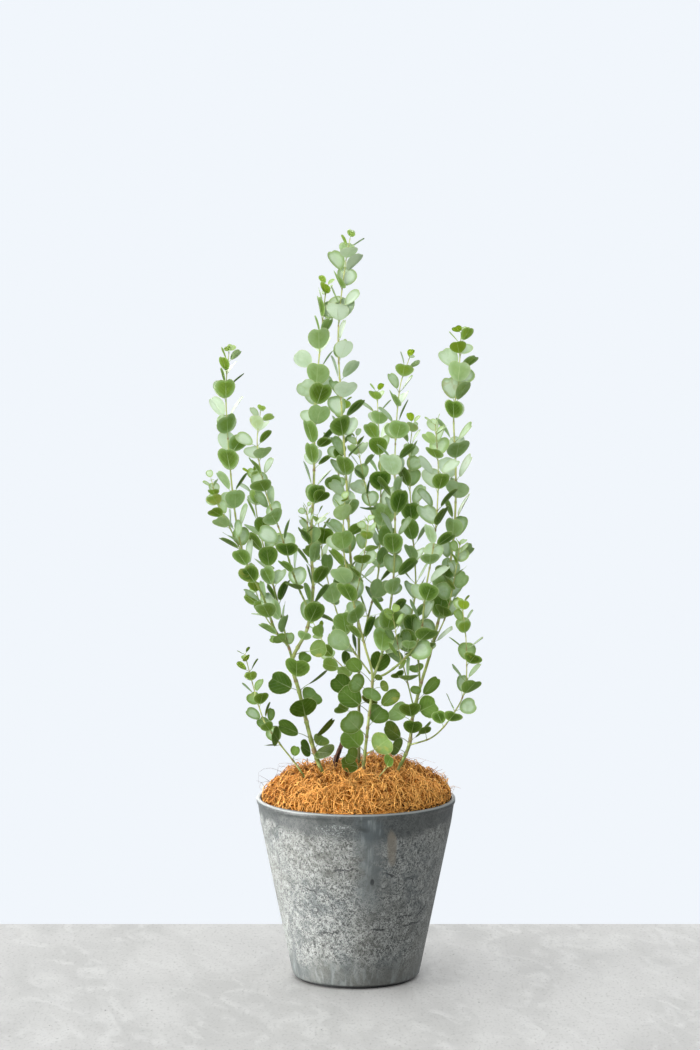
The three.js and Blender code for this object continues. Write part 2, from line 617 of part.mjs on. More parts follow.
function bladeOutline(leaf, corners) {
  const side = corners.map((corner) => {
    const angle = radians(corner);
    const notch = corner === 180 ? BLADE_NOTCH * leaf.length : 0;
    const half = (leaf.width / 2) * Math.sin(angle) * (1 - BLADE_WAIST * Math.cos(angle));
    return [(leaf.length * (1 - Math.cos(angle))) / 2 - notch,
      corner === 180 ? 0 : half + STALK_HALF_WIDTH];
  });
  const mirrored = side.filter(([, half]) => half > 0).map(([along, half]) => [along, -half]);
  return [...side, ...mirrored.reverse()];
}

// The point of a blade at a place in its outline: both halves rise from the midrib, and the
// blade curls down towards its tip.

function bladePoint(leaf, [along, half], up) {
  const across = leaf.along.clone().cross(leaf.normal);
  const rise = Math.abs(half) * BLADE_FOLD - (BLADE_CURL * along ** 2) / leaf.length;
  return leaf.root.clone()
    .addScaledVector(leaf.along, leaf.stalk + along)
    .addScaledVector(across, half)
    .addScaledVector(leaf.normal, rise + up * BLADE_THICKNESS);
}

// A blade joined to four points of its stem, in the order upper and lower on its first side,
// then upper and lower on its other side.

function growBlade(positions, triangles, leaf, [upperA, lowerA, upperB, lowerB], corners) {
  const outline = bladeOutline(leaf, corners);
  const first = positions.length;
  outline.forEach((place) => positions.push(bladePoint(leaf, place, 0.5), bladePoint(leaf, place, -0.5)));
  const upper = [upperA, ...outline.map((_, i) => first + 2 * i), upperB];
  const lower = [lowerA, ...outline.map((_, i) => first + 2 * i + 1), lowerB];
  for (let i = 0; i < upper.length - 1; i += 1) {
    triangles.push(upper[i], lower[i], lower[i + 1], upper[i], lower[i + 1], upper[i + 1]);
  }
  const count = upper.length;
  const tip = corners.length;
  for (let step = 1; step < count - 1; step += 1) {
    const [i, next] = [(tip + step) % count, (tip + step + 1) % count];
    triangles.push(upper[tip], upper[i], upper[next], lower[tip], lower[next], lower[i]);
  }
}

// A stalk from four points of the stem to the foot of its blade. The blade's foot is turned to
// the corners that lie nearest, so that the stalk isn't wrung.

function growStalk(positions, triangles, leaf, root) {
  const foot = [[STALK_HALF_WIDTH, 0.5], [-STALK_HALF_WIDTH, 0.5], [-STALK_HALF_WIDTH, -0.5],
    [STALK_HALF_WIDTH, -0.5]].map(([half, up]) => bladePoint(leaf, [0, half], up));
  const loop = [root[0], root[2], root[3], root[1]];
  const apart = (shift) => foot.reduce((sum, point, i) => (
    sum + point.distanceToSquared(positions[loop[(i + shift) % 4]])), 0);
  const shift = [0, 1, 2, 3].reduce((best, turn) => (apart(turn) < apart(best) ? turn : best));
  const first = positions.length;
  positions.push(...foot);
  for (let i = 0; i < 4; i += 1) {
    const next = (i + 1) % 4;
    const [a, b] = [loop[(i + shift) % 4], loop[(next + shift) % 4]];
    triangles.push(a, first + i, first + next, a, first + next, b);
  }
  return [first, first + 3, first + 1, first + 2];
}

// A shoot with its leaves, grown as one closed surface. A pair of rings stands at each node,
// and each leaf leaves through the face between them that looks its way.

function leafyShoot(on) {
  const { wide, turn } = SHOOTS[on];
  const traced = TRACES[on];
  const mine = leaves.filter((leaf) => leaf.shoot === on && leaf.built)
    .sort((a, b) => a.at - b.at);
  const nodes = [];
  for (const leaf of mine) {
    const last = nodes[nodes.length - 1];
    if (last && leaf.at === last.leaves[0].at) last.leaves.push(leaf);
    else nodes.push({ at: Math.max(leaf.at, last ? last.at + NODE_APART : 0), leaves: [leaf] });
  }
  const clear = (length) => nodes.every(({ at }) => Math.abs(at - length) > ROUTE_CLEAR_OF_NODE);
  const lengths = [...traced.lengths.filter((length, i) => i === 0 || clear(length)),
    ...nodes.flatMap(({ at }) => [at - NODE_HALF_HEIGHT, at + NODE_HALF_HEIGHT])]
    .sort((a, b) => a - b);
  const rings = lengths.map((length) => ringAt(traced, length, wide, turn, STEM_SIDES));
  const grown = new Map();
  for (const { at, leaves: pair } of nodes) {
    const ring = lengths.indexOf(at - NODE_HALF_HEIGHT);
    for (const leaf of pair) {
      const face = nearestFace(rings[ring], leaf, grown, ring);
      if (face !== undefined) grown.set(ring * STEM_SIDES + face, leaf);
    }
  }
  const [positions, triangles] = [[], []];
  bands(positions, triangles, rings, STEM_SIDES, (i, k) => grown.has(i * STEM_SIDES + k));
  for (const [key, leaf] of grown) {
    const [ring, face] = [Math.floor(key / STEM_SIDES), key % STEM_SIDES];
    const [low, next] = [ring * STEM_SIDES + face, ring * STEM_SIDES + ((face + 1) % STEM_SIDES)];
    const root = [low + STEM_SIDES, low, next + STEM_SIDES, next];
    const foot = leaf.pair === undefined ? growStalk(positions, triangles, leaf, root) : root;
    growBlade(positions, triangles, leaf, foot, cornersFor(leaf));
  }
  return solidOf(flat(positions), triangles);
}

// The free face of a ring that looks most the leaf's way.

function nearestFace(ring, leaf, grown, number) {
  const centre = ring.reduce((sum, corner) => sum.add(corner), new THREE.Vector3())
    .divideScalar(STEM_SIDES);
  const looks = ring.map((corner, k) => corner.clone().add(ring[(k + 1) % STEM_SIDES])
    .multiplyScalar(0.5).sub(centre).dot(leaf.along));
  const order = looks.map((_, k) => k).sort((a, b) => looks[b] - looks[a]);
  return order.slice(0, 2).find((k) => !grown.has(number * STEM_SIDES + k));
}

function cornersFor(leaf) {
  if (leaf.pair === undefined) return BROAD_CORNERS;
  return leaf.width < YOUNG_WIDTH ? YOUNG_CORNERS : ROUND_CORNERS;
}

// Soil and mulch

const soilTop = (radius) => (
  SOIL_EDGE_HEIGHT + SOIL_DOME * (1 - (radius / LIP_INNER_RADIUS) ** 2));

const potInside = (height) => (height < SHOULDER_HEIGHT
  ? FLOOR_RADIUS + ((height - FLOOR_HEIGHT) / (SHOULDER_HEIGHT - FLOOR_HEIGHT))
    * (SHOULDER_RADIUS - WALL - FLOOR_RADIUS)
  : SHOULDER_RADIUS - WALL + ((height - SHOULDER_HEIGHT) / (NECK_HEIGHT - SHOULDER_HEIGHT))
    * (LIP_INNER_RADIUS - SHOULDER_RADIUS + WALL));

function makePot() {
  return turned([
    [0, 0], [FOOT_RADIUS, 0], [FOOT_RADIUS, FOOT_HEIGHT], [BODY_FOOT_RADIUS - UNDERCUT, FOOT_HEIGHT],
    [BODY_FOOT_RADIUS, BODY_FOOT_HEIGHT], [SHOULDER_RADIUS, SHOULDER_HEIGHT],
    [NECK_RADIUS, NECK_HEIGHT], [LIP_RADIUS, NECK_HEIGHT + LIP_DEPTH],
    [LIP_RADIUS, POT_HEIGHT - LIP_EDGE], [LIP_RADIUS - LIP_EDGE, POT_HEIGHT],
    [LIP_INNER_RADIUS + LIP_EDGE, POT_HEIGHT], [LIP_INNER_RADIUS, POT_HEIGHT - LIP_EDGE],
    [LIP_INNER_RADIUS, NECK_HEIGHT],
    [SHOULDER_RADIUS - WALL, SHOULDER_HEIGHT], [FLOOR_RADIUS, FLOOR_HEIGHT], [0, FLOOR_HEIGHT],
  ], POT_SIDES);
}

function makeSoil() {
  const edge = potInside(SOIL_EDGE_HEIGHT) - CLEARANCE;
  const profile = [[0, FLOOR_HEIGHT + CLEARANCE], [FLOOR_RADIUS - CLEARANCE, FLOOR_HEIGHT + CLEARANCE],
    [potInside(SHOULDER_HEIGHT) - CLEARANCE, SHOULDER_HEIGHT]];
  for (let ring = SOIL_RINGS; ring >= 0; ring -= 1) {
    const radius = (edge * ring) / SOIL_RINGS;
    profile.push([radius, soilTop(radius)]);
  }
  return turned(profile, POT_SIDES);
}

// Smooth bumps from about -1 to 1: a sum of seeded sine waves that run in many directions

const WAVES = Array.from({ length: CLUMP_WAVES }, (_, i) => ({
  heading: 2 * Math.PI * draw(CLUMP_DRAW, i, 1),
  phase: 2 * Math.PI * draw(CLUMP_DRAW, i, 2),
  count: (2 * Math.PI) / (CLUMP_LENGTH * (SHORTEST_CLUMP + draw(CLUMP_DRAW, i, 3))),
}));

const clumps = (x, y) => WAVES.reduce((sum, { heading, phase, count }) => (
  sum + Math.sin(count * (x * Math.cos(heading) + y * Math.sin(heading)) + phase)), 0)
  / Math.sqrt(CLUMP_WAVES);

const knolls = (x, y) => KNOLLS.reduce((sum, knoll) => (
  sum + knoll.height * Math.exp(-(((x - knoll.x) ** 2 + (y - knoll.y) ** 2) / knoll.radius ** 2))), 0);

// The mulch's height: a dome with steep sides, a little higher to the right, with knolls,
// clumps and seeded tufts that fade out at the wall.

function mulchTop(x, y, tuft) {
  const share = Math.min(Math.hypot(x, y) / LIP_INNER_RADIUS, 1);
  const dome = MULCH_DOME * Math.sqrt(1 - share ** DOME_POWER);
  const rough = knolls(x, y) + CLUMP_HEIGHT * clumps(x, y) + MULCH_TUFT * tuft;
  return MULCH_EDGE_HEIGHT + dome + MULCH_SLOPE * x + rough * (1 - share ** FADE_POWER);
}

function ringOf(radius, heightAt) {
  return Array.from({ length: MULCH_SIDES }, (_, k) => {
    const angle = (2 * Math.PI * k) / MULCH_SIDES;
    const [x, y] = [radius * Math.cos(angle), radius * Math.sin(angle)];
    return [x, y, heightAt(x, y, k)];
  });
}

// The heap as rings of points from its crown out to the wall and back in along its underside,
// which follows the soil.

function makeMulchHeap() {
  const edge = LIP_INNER_RADIUS - CLEARANCE;
  const rings = [];
  for (let ring = 1; ring <= MULCH_RINGS; ring += 1) {
    const tuft = (x, y, k) => mulchTop(x, y, 2 * draw(TUFT_DRAW, ring * MULCH_SIDES + k, 1) - 1);
    rings.push(ringOf(edge * Math.sin((Math.PI / 2) * (ring / MULCH_RINGS)), tuft));
  }
  const underside = (radius) => Math.max(soilTop(radius) + UNDERSIDE_GAP, UNDERSIDE_HEIGHT);
  for (const share of UNDERSIDE_RINGS) {
    const radius = (potInside(UNDERSIDE_HEIGHT) - CLEARANCE) * share;
    rings.push(ringOf(radius, () => underside(radius)));
  }
  const positions = [[0, 0, mulchTop(0, 0, 0)], ...rings.flat(), [0, 0, underside(0)]].flat();
  const triangles = [];
  const last = 1 + rings.length * MULCH_SIDES;
  for (let k = 0; k < MULCH_SIDES; k += 1) {
    const next = (k + 1) % MULCH_SIDES;
    triangles.push(0, 1 + k, 1 + next, last, last - MULCH_SIDES + next, last - MULCH_SIDES + k);
    for (let ring = 1; ring < rings.length; ring += 1) {
      const [inner, outer] = [1 + (ring - 1) * MULCH_SIDES, 1 + ring * MULCH_SIDES];
      triangles.push(outer + k, outer + next, inner + next, outer + k, inner + next, inner + k);
    }
  }
  return solidOf(positions, triangles);
}

// A loose strand: an arch with a sideways curl, both ends sunk into the heap.

function makeStrand(number) {
  const between = ([least, most], purpose) => (
    least + (most - least) * draw(STRAND_DRAW, number, purpose));
  const angle = between(FULL_TURN, 1);
  const radius = LIP_INNER_RADIUS * Math.sqrt(between(STRAND_REACH, 2));
  const heading = between(FULL_TURN, 3);
  const span = between(STRAND_SPAN, 4);
  const lift = between(STRAND_LIFT, 5);
  const curl = between(STRAND_CURL, 6);
  const points = [];
  for (let i = 0; i <= STRAND_STEPS; i += 1) {
    const share = i / STRAND_STEPS;
    const forward = (share - 0.5) * span;
    const sideways = curl * Math.sin(2 * Math.PI * share);
    const x = radius * Math.cos(angle) + forward * Math.cos(heading) - sideways * Math.sin(heading);
    const y = radius * Math.sin(angle) + forward * Math.sin(heading) + sideways * Math.cos(heading);
    const inward = Math.min(1, (LIP_INNER_RADIUS - STRAND_FROM_WALL) / Math.hypot(x, y));
    const [atX, atY] = [x * inward, y * inward];
    const rise = (lift + STRAND_SUNK) * Math.sin(Math.PI * share) - STRAND_SUNK;
    points.push([atX, atY, mulchTop(atX, atY, 0) + rise]);
  }
  return tube(points, [2 * STRAND_RADIUS, 2 * STRAND_RADIUS], STRAND_SIDES);
}

function withHoles(solid) {
  const rooted = Object.values(SHOOTS).filter(({ route }) => route[0][2] < ROOTED_BELOW);
  const holes = rooted.map((shoot) => hole(shoot, STEM_SIDES));
  holes.push(hole(STUB, STUB_SIDES));
  return holes.reduce((left, cut) => left.subtract(cut), solid);
}

// The whole plant

const TRACES = Object.fromEntries(
  Object.entries(SHOOTS).map(([name, { route }]) => [name, trace(route)]));

const leaves = LARGE_LEAVES.map(largeLeaf).map((leaf) => ({ ...leaf, built: true }));
Object.keys(SHOOTS).forEach((on, number) => addPairs(on, number, leaves));

function makeStem(node) {
  const shoots = Object.keys(SHOOTS).filter((on) => SHOOTS[on].node === node);
  return largestBody(wasm.Manifold.union(shoots.map(leafyShoot)));
}

const STEM_NODES = [...new Set(Object.values(SHOOTS).map(({ node }) => node))];
const stems = Object.fromEntries(STEM_NODES.map((node) => [node, makeStem(node)]));
const stub = tube(STUB.route, STUB.wide, STUB_SIDES);

function makeMulch() {
  const plants = [...Object.values(stems), stub];
  const strands = [];
  for (let number = 0; number < STRAND_COUNT; number += 1) {
    const strand = makeStrand(number);
    if (plants.every((plant) => plant.intersect(strand).isEmpty())) strands.push(strand);
  }
  return largestBody(withHoles(wasm.Manifold.union([makeMulchHeap(), ...strands])));
}

const part = new THREE.Group();

function add(name, solid, color, roughness) {
  const material = new THREE.MeshStandardMaterial({ color, roughness, metalness: 0 });
  const mesh = new THREE.Mesh(geometryOf(solid), material);
  mesh.name = name;
  part.add(mesh);
}

add('pot', makePot(), 0x7b827f, 0.75);
add('potting_soil', withHoles(makeSoil()), 0x2e231b, 1);
add('coir_mulch', makeMulch(), 0xb5763c, 0.95);
add('dead_stub', stub, 0x4d3020, 0.95);
STEM_NODES.forEach((node) => add(node, stems[node], 0x7ea06d, 0.6));

export default part;
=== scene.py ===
# %% [markdown]
# # A potted round-leaved mallee
#
# The plant is about a metre tall: several slender stems with pairs of round, waxy leaves, in a
# tapered planter of stone-like resin, with a heap of coconut fibre over its soil. The solids
# that carry weight and touch the ground are already there, as plain facets. This lesson gives
# them their looks, piece by piece, without moving any of them.

# %% Load the frame
import math

import bpy
import numpy as np
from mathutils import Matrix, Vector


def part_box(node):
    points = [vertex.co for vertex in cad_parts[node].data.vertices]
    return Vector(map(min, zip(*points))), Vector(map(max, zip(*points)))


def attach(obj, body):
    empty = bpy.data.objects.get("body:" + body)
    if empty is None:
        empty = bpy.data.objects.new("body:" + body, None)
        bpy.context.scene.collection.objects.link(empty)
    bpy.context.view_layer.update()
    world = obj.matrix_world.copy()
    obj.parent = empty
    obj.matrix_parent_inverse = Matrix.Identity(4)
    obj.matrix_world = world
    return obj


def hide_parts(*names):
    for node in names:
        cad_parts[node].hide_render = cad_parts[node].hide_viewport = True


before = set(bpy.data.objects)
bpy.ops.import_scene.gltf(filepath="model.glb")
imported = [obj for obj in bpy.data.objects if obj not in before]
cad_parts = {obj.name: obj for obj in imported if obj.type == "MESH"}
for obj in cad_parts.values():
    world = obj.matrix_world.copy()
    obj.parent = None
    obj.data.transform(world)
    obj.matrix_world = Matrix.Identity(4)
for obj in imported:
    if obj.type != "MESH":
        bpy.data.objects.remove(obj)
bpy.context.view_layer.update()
print("nodes:", sorted(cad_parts))

# %% [markdown]
# ## The camera and the light
#
# The view is that of a long lens, a little above the plant and looking slightly down. A room
# with a bright window on one side can be made with one large soft light and a pale world
# around it, brighter above and towards the window. The real pot is three times as bright on
# its left as in its middle, yet floor and leaves are lit evenly. So a low strip of light with
# a narrow spread, as a softbox with a grid gives, was chosen to reach the pot alone, with the
# floor left out of it. A second one from the front reaches only the upper leaves, and a last
# one stands for the pale wall behind, which lights the plant's back and its edges.

# %% Camera
PHOTO_HEIGHT = 1050
FOCAL_LENGTH_IN_PIXELS = 3800
SENSOR = 36.0
CAMERA_PLACE = (-0.0081, -5.108, 1.1924)
CAMERA_PITCH = 6.38

scene = bpy.context.scene
camera_data = bpy.data.cameras.new("camera")
camera_data.sensor_width = SENSOR
camera_data.lens = SENSOR * FOCAL_LENGTH_IN_PIXELS / PHOTO_HEIGHT
camera = bpy.data.objects.new("camera", camera_data)
camera.location = CAMERA_PLACE
camera.rotation_euler = (math.radians(90 - CAMERA_PITCH), 0, 0)
scene.collection.objects.link(camera)
scene.camera = camera
scene.view_settings.view_transform = "Standard"
print("lens in mm:", round(camera_data.lens, 2))


# %% Node helpers
def add_node(tree, kind, inputs=None, **settings):
    """Adds a node. Each input gets a plain value, or is joined to the output that it's given."""
    made = tree.nodes.new(kind)
    for key, value in settings.items():
        setattr(made, key, value)
    for key, value in (inputs or {}).items():
        if isinstance(value, bpy.types.NodeSocket):
            tree.links.new(value, made.inputs[key])
        else:
            made.inputs[key].default_value = value
    return made


def calculate(tree, operation, *values):
    """One step of arithmetic on numbers or outputs."""
    return add_node(tree, "ShaderNodeMath", dict(enumerate(values)), operation=operation).outputs[0]


def step(tree, value, low, high):
    """Rises smoothly from 0 at low to 1 at high. It falls instead where low is above high."""
    made = add_node(
        tree, "ShaderNodeMapRange",
        {"Value": value, "From Min": low, "From Max": high},
        interpolation_type="SMOOTHSTEP",
    )
    return made.outputs["Result"]


def blend(tree, share, first, second):
    """The first colour where share is 0, the second where it is 1."""
    made = add_node(tree, "ShaderNodeMix", {0: share, 6: first, 7: second}, data_type="RGBA")
    return made.outputs[2]


def times(tree, first, *others):
    """The product of numbers or outputs."""
    for other in others:
        first = calculate(tree, "MULTIPLY", first, other)
    return first


def off_by(tree, value, middle):
    """How far a value is from a middle, on either side."""
    return calculate(tree, "ABSOLUTE", calculate(tree, "SUBTRACT", value, middle))


def paint(tree, colour, mask, strength, new):
    """The colour with a new one laid over it at that strength, where the mask is 1."""
    return blend(tree, times(tree, mask, strength), colour, new)


def cloud(tree, place, scale, detail=3.0, distortion=0.0, stretch=(1, 1, 1), turn=(0, 0, 0)):
    """Noise with that many lumps a metre, times stretch along each axis, turned by degrees."""
    turned = [math.radians(angle) for angle in turn]
    lump = [1 / more for more in stretch]
    mapped = add_node(
        tree, "ShaderNodeMapping",
        {"Vector": place, "Rotation": turned, "Scale": lump},
        vector_type="TEXTURE",
    )
    inputs = {"Vector": mapped.outputs[0], "Scale": scale, "Detail": detail, "Distortion": distortion}
    return add_node(tree, "ShaderNodeTexNoise", inputs).outputs[0]


def new_material(name, **constants):
    """A material, its node tree, its main shader and its object coordinates."""
    made = bpy.data.materials.new(name)
    made.use_nodes = True
    tree = made.node_tree
    shader = tree.nodes["Principled BSDF"]
    for key, value in constants.items():
        shader.inputs[key.replace("_", " ")].default_value = value
    place = add_node(tree, "ShaderNodeTexCoord").outputs["Object"]
    return made, tree, shader, place


def add_bump(tree, shader, height, distance, strength=1.0):
    """Small relief, in metres, that is only shaded."""
    inputs = {"Height": height, "Distance": distance, "Strength": strength}
    made = add_node(tree, "ShaderNodeBump", inputs)
    tree.links.new(made.outputs[0], shader.inputs["Normal"])


# %% World and lights
SEEN_SKY = (0.880, 0.922, 0.973, 1)
SKY_LIGHT = (0.95, 0.975, 1.0, 1)
SKY_LIGHT_STRENGTH = 0.73
MORE_FROM_ABOVE = 0.9
LESS_FROM_RIGHT = -0.45
WINDOW_COLOUR = (1.0, 0.985, 0.96)

world = bpy.data.worlds.new("pale_room")
world.use_nodes = True
scene.world = world
sky = world.node_tree
sky.nodes.clear()
seen = add_node(sky, "ShaderNodeBackground", {"Color": SEEN_SKY, "Strength": 1.0})
direction = add_node(sky, "ShaderNodeTexCoord").outputs["Generated"]
to_right, _, upward = add_node(sky, "ShaderNodeSeparateXYZ", {0: direction}).outputs
evenness = calculate(sky, "MULTIPLY_ADD", upward, MORE_FROM_ABOVE, 1.0)
evenness = calculate(sky, "MULTIPLY_ADD", to_right, LESS_FROM_RIGHT, evenness)
strength = times(sky, calculate(sky, "MAXIMUM", evenness, 0.0), SKY_LIGHT_STRENGTH)
lit = add_node(sky, "ShaderNodeBackground", {"Color": SKY_LIGHT, "Strength": strength})
ray = add_node(sky, "ShaderNodeLightPath").outputs["Is Camera Ray"]
both = add_node(sky, "ShaderNodeMixShader", {0: ray, 1: lit.outputs[0], 2: seen.outputs[0]})
add_node(sky, "ShaderNodeOutputWorld", {"Surface": both.outputs[0]})


def add_soft_light(name, place, aim, size, watts, spread):
    """A light of that width and height in metres that looks from place to aim.

    Its rays leave within spread degrees, half of them on each side of the aim.
    """
    data = bpy.data.lights.new(name, "AREA")
    data.shape = "RECTANGLE"
    data.size, data.size_y = size
    data.energy = watts
    data.color = WINDOW_COLOUR
    data.spread = math.radians(spread)
    light = bpy.data.objects.new(name, data)
    light.location = place
    direction = np.subtract(aim, place)
    yaw = math.atan2(direction[0], -direction[1])
    fall = math.atan2(np.hypot(direction[0], direction[1]), -direction[2])
    light.rotation_euler = (fall, 0, yaw + math.pi)
    scene.collection.objects.link(light)
    return light


MIDDLE_OF_PLANT = (0, 0, 0.45)
MIDDLE_OF_POT = (0, 0, 0.11)
UPPER_LEAVES = (0, 0, 0.95)
# Each light's place, what it looks at, its width and height, its watts, and its spread
SOFT_LIGHTS = {
    "window_light": ((-12.0, -3.4, 1.6), MIDDLE_OF_PLANT, (6.2, 3.0), 500, 180),
    "pot_light": ((-2.6, -0.75, 0.11), MIDDLE_OF_POT, (0.5, 0.2), 1.75, 16),
    "leaf_light": ((-0.8, -3.2, 1.5), UPPER_LEAVES, (1.6, 1.0), 4.0, 32),
    "wall_light": ((-0.9, 2.2, 1.6), MIDDLE_OF_PLANT, (1.8, 1.8), 70, 180),
}
lights = {name: add_soft_light(name, *row) for name, row in SOFT_LIGHTS.items()}
print("lights:", list(lights))

# %% [markdown]
# ## Meshes from arrays
#
# Every new piece is a surface that numpy works out as a whole: an array of points and an array
# of faces. The helpers below turn such arrays into a mesh, and name the solid that the piece
# stands for. Round rods, from a stem to a single fibre, are all rings of corners along a path.

# %% Mesh helpers
MM = 0.001


def new_piece(name, points, faces, material, replaces):
    """An object from points in metres and a list of face arrays, each with rows of corners."""
    mesh = bpy.data.meshes.new(name)
    corners = np.concatenate([rows.ravel() for rows in faces])
    counts = np.concatenate([np.full(len(rows), rows.shape[1]) for rows in faces])
    mesh.vertices.add(len(points))
    mesh.vertices.foreach_set("co", np.asarray(points, np.float32).ravel())
    mesh.loops.add(len(corners))
    mesh.loops.foreach_set("vertex_index", corners.astype(np.int32))
    mesh.polygons.add(len(counts))
    mesh.polygons.foreach_set("loop_start", (np.cumsum(counts) - counts).astype(np.int32))
    mesh.update(calc_edges=True)
    mesh.shade_smooth()
    mesh.materials.append(material)
    piece = bpy.data.objects.new(name, mesh)
    scene.collection.objects.link(piece)
    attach(piece, "root")
    for node in replaces:
        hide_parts(node)
    triangles = int((counts - 2).sum())
    print(f"{name}: {len(points)} points, {triangles} triangles")
    return piece


def add_attribute(piece, name, values):
    """Four numbers on each point, which a material reads by name."""
    made = piece.data.attributes.new(name, "FLOAT_COLOR", "POINT")
    made.data.foreach_set("color", np.asarray(values, np.float32).ravel())


def read_attribute(tree, name):
    """The first three numbers of an attribute, apart, and the fourth."""
    made = add_node(tree, "ShaderNodeAttribute", attribute_name=name)
    apart = add_node(tree, "ShaderNodeSeparateColor", {0: made.outputs["Color"]})
    return (*apart.outputs[:3], made.outputs["Alpha"])


def unit(vectors):
    """Each vector over its own length."""
    return vectors / np.linalg.norm(vectors, axis=-1, keepdims=True)


def dot(first, second):
    """The dot product of each vector with its match."""
    return (first * second).sum(-1)


def ring_faces(rings, sides):
    """Four-cornered faces between rings of corners that follow each other."""
    ring, side = np.meshgrid(np.arange(rings - 1), np.arange(sides), indexing="ij")
    low = ring * sides + side
    next_low = ring * sides + (side + 1) % sides
    return np.stack([low, next_low, next_low + sides, low + sides], -1).reshape(-1, 4)


def repeat_faces(faces, copies, points_each):
    """The same faces for each copy, whose points follow those of the copy before."""
    return (faces[None] + np.arange(copies)[:, None, None] * points_each).reshape(-1, faces.shape[1])


def rods(paths, radii, sides, reference):
    """Closed round rods. paths is (rods, steps, 3) and radii (rods, steps).

    A corner is path + radius (cos a * side + sin a * back), where side is the reference
    direction made square to the path, and back is the path's direction crossed with side.
    Returns the points as (rods, steps, sides, 3), and the faces of all rods.
    """
    along = unit(np.gradient(paths, axis=1))
    side = unit(reference - dot(along, reference)[..., None] * along)
    back = np.cross(along, side)
    angle = 2 * np.pi * (np.arange(sides) + 0.5) / sides
    spokes = np.cos(angle)[:, None] * side[..., None, :] + np.sin(angle)[:, None] * back[..., None, :]
    points = paths[..., None, :] + radii[..., None, None] * spokes
    count, steps = radii.shape
    fan = np.arange(1, sides - 1)
    first = np.stack([0 * fan, fan + 1, fan], -1)
    last = np.stack([0 * fan, fan, fan + 1], -1) + (steps - 1) * sides
    ends = np.concatenate([first, last])
    walls = ring_faces(steps, sides)
    each = steps * sides
    return points, [repeat_faces(walls, count, each), repeat_faces(ends, count, each)]


def plane_waves(x, y, seed, length, waves=18):
    """Smooth bumps about that long, from -1 to 1 or so: a sum of sines in many directions."""
    rng = np.random.default_rng(seed)
    heading = rng.uniform(0, 2 * np.pi, waves)
    phase = rng.uniform(0, 2 * np.pi, waves)
    count = 2 * np.pi / (length * rng.uniform(0.7, 1.5, waves))
    across = x[..., None] * np.cos(heading) + y[..., None] * np.sin(heading)
    return np.sin(across * count + phase).sum(-1) / np.sqrt(waves)


# %% [markdown]
# ## The floor
#
# The plant stands on a pale concrete slab that ends a little behind it. A flat grid is enough,
# because all of its character is in the finish: cloudy stains, fine grit and faint trowel marks.

# %% Floor
FLOOR_BACK_EDGE = 0.327
FLOOR_FRONT_EDGE = -1.5
FLOOR_HALF_WIDTH = 1.7
FLOOR_CORNERS = 9
DRAWN_OUT = (1, 0.4, 1)
CONCRETE_GREY = (0.535, 0.524, 0.503, 1)
CONCRETE_PALE = (0.625, 0.611, 0.588, 1)
TROWEL_PALE = (0.66, 0.648, 0.624, 1)
GRIT_GREY = (0.40, 0.39, 0.37, 1)
PIT_DARK = (0.31, 0.30, 0.285, 1)


def concrete():
    """Pale grey with cloudy stains, trowel marks, darker grit and small pits."""
    made, tree, shader, place = new_material("pale_concrete", Roughness=0.62)
    stains = cloud(tree, place, 9, 5, 0.6, stretch=(1, 0.35, 1))
    grit = cloud(tree, place, 260, 4, stretch=DRAWN_OUT)
    trowel = cloud(tree, place, 26, 6, 1.2, stretch=DRAWN_OUT, turn=(0, 0, 12))
    pits = cloud(tree, place, 120, 2, stretch=DRAWN_OUT)
    colour = blend(tree, step(tree, stains, 0.35, 0.68), CONCRETE_GREY, CONCRETE_PALE)
    colour = blend(tree, step(tree, trowel, 0.45, 0.75), colour, TROWEL_PALE)
    colour = blend(tree, step(tree, grit, 0.50, 0.85), colour, GRIT_GREY)
    colour = blend(tree, step(tree, pits, 0.72, 0.78), colour, PIT_DARK)
    tree.links.new(colour, shader.inputs["Base Color"])
    add_bump(tree, shader, calculate(tree, "ADD", grit, trowel), 0.0004, 0.4)
    return made


floor_x, floor_y = np.meshgrid(
    np.linspace(-FLOOR_HALF_WIDTH, FLOOR_HALF_WIDTH, FLOOR_CORNERS),
    np.linspace(FLOOR_FRONT_EDGE, FLOOR_BACK_EDGE, FLOOR_CORNERS),
)
floor_mesh = bpy.data.meshes.new("floor")
floor_points = np.stack([floor_x, floor_y, 0 * floor_x], -1).reshape(-1, 3)
floor_cell = np.arange(FLOOR_CORNERS - 1)
floor_corner = (floor_cell[:, None] * FLOOR_CORNERS + floor_cell).ravel()
corner_behind = floor_corner + FLOOR_CORNERS
floor_faces = np.stack([floor_corner, floor_corner + 1, corner_behind + 1, corner_behind], -1)
floor_mesh.from_pydata(floor_points.tolist(), [], floor_faces.tolist())
floor_mesh.materials.append(concrete())
floor = bpy.data.objects.new("floor", floor_mesh)
scene.collection.objects.link(floor)
print("floor ends at y =", FLOOR_BACK_EDGE)

# Two lights skip the floor, so that it stays even and the pot throws no hard shadow on it
flagged = bpy.data.collections.new("flagged_floor")
flagged.objects.link(floor)
flagged.collection_objects[0].light_linking.link_state = "EXCLUDE"
for name in ("pot_light", "wall_light"):
    lights[name].light_linking.receiver_collection = flagged
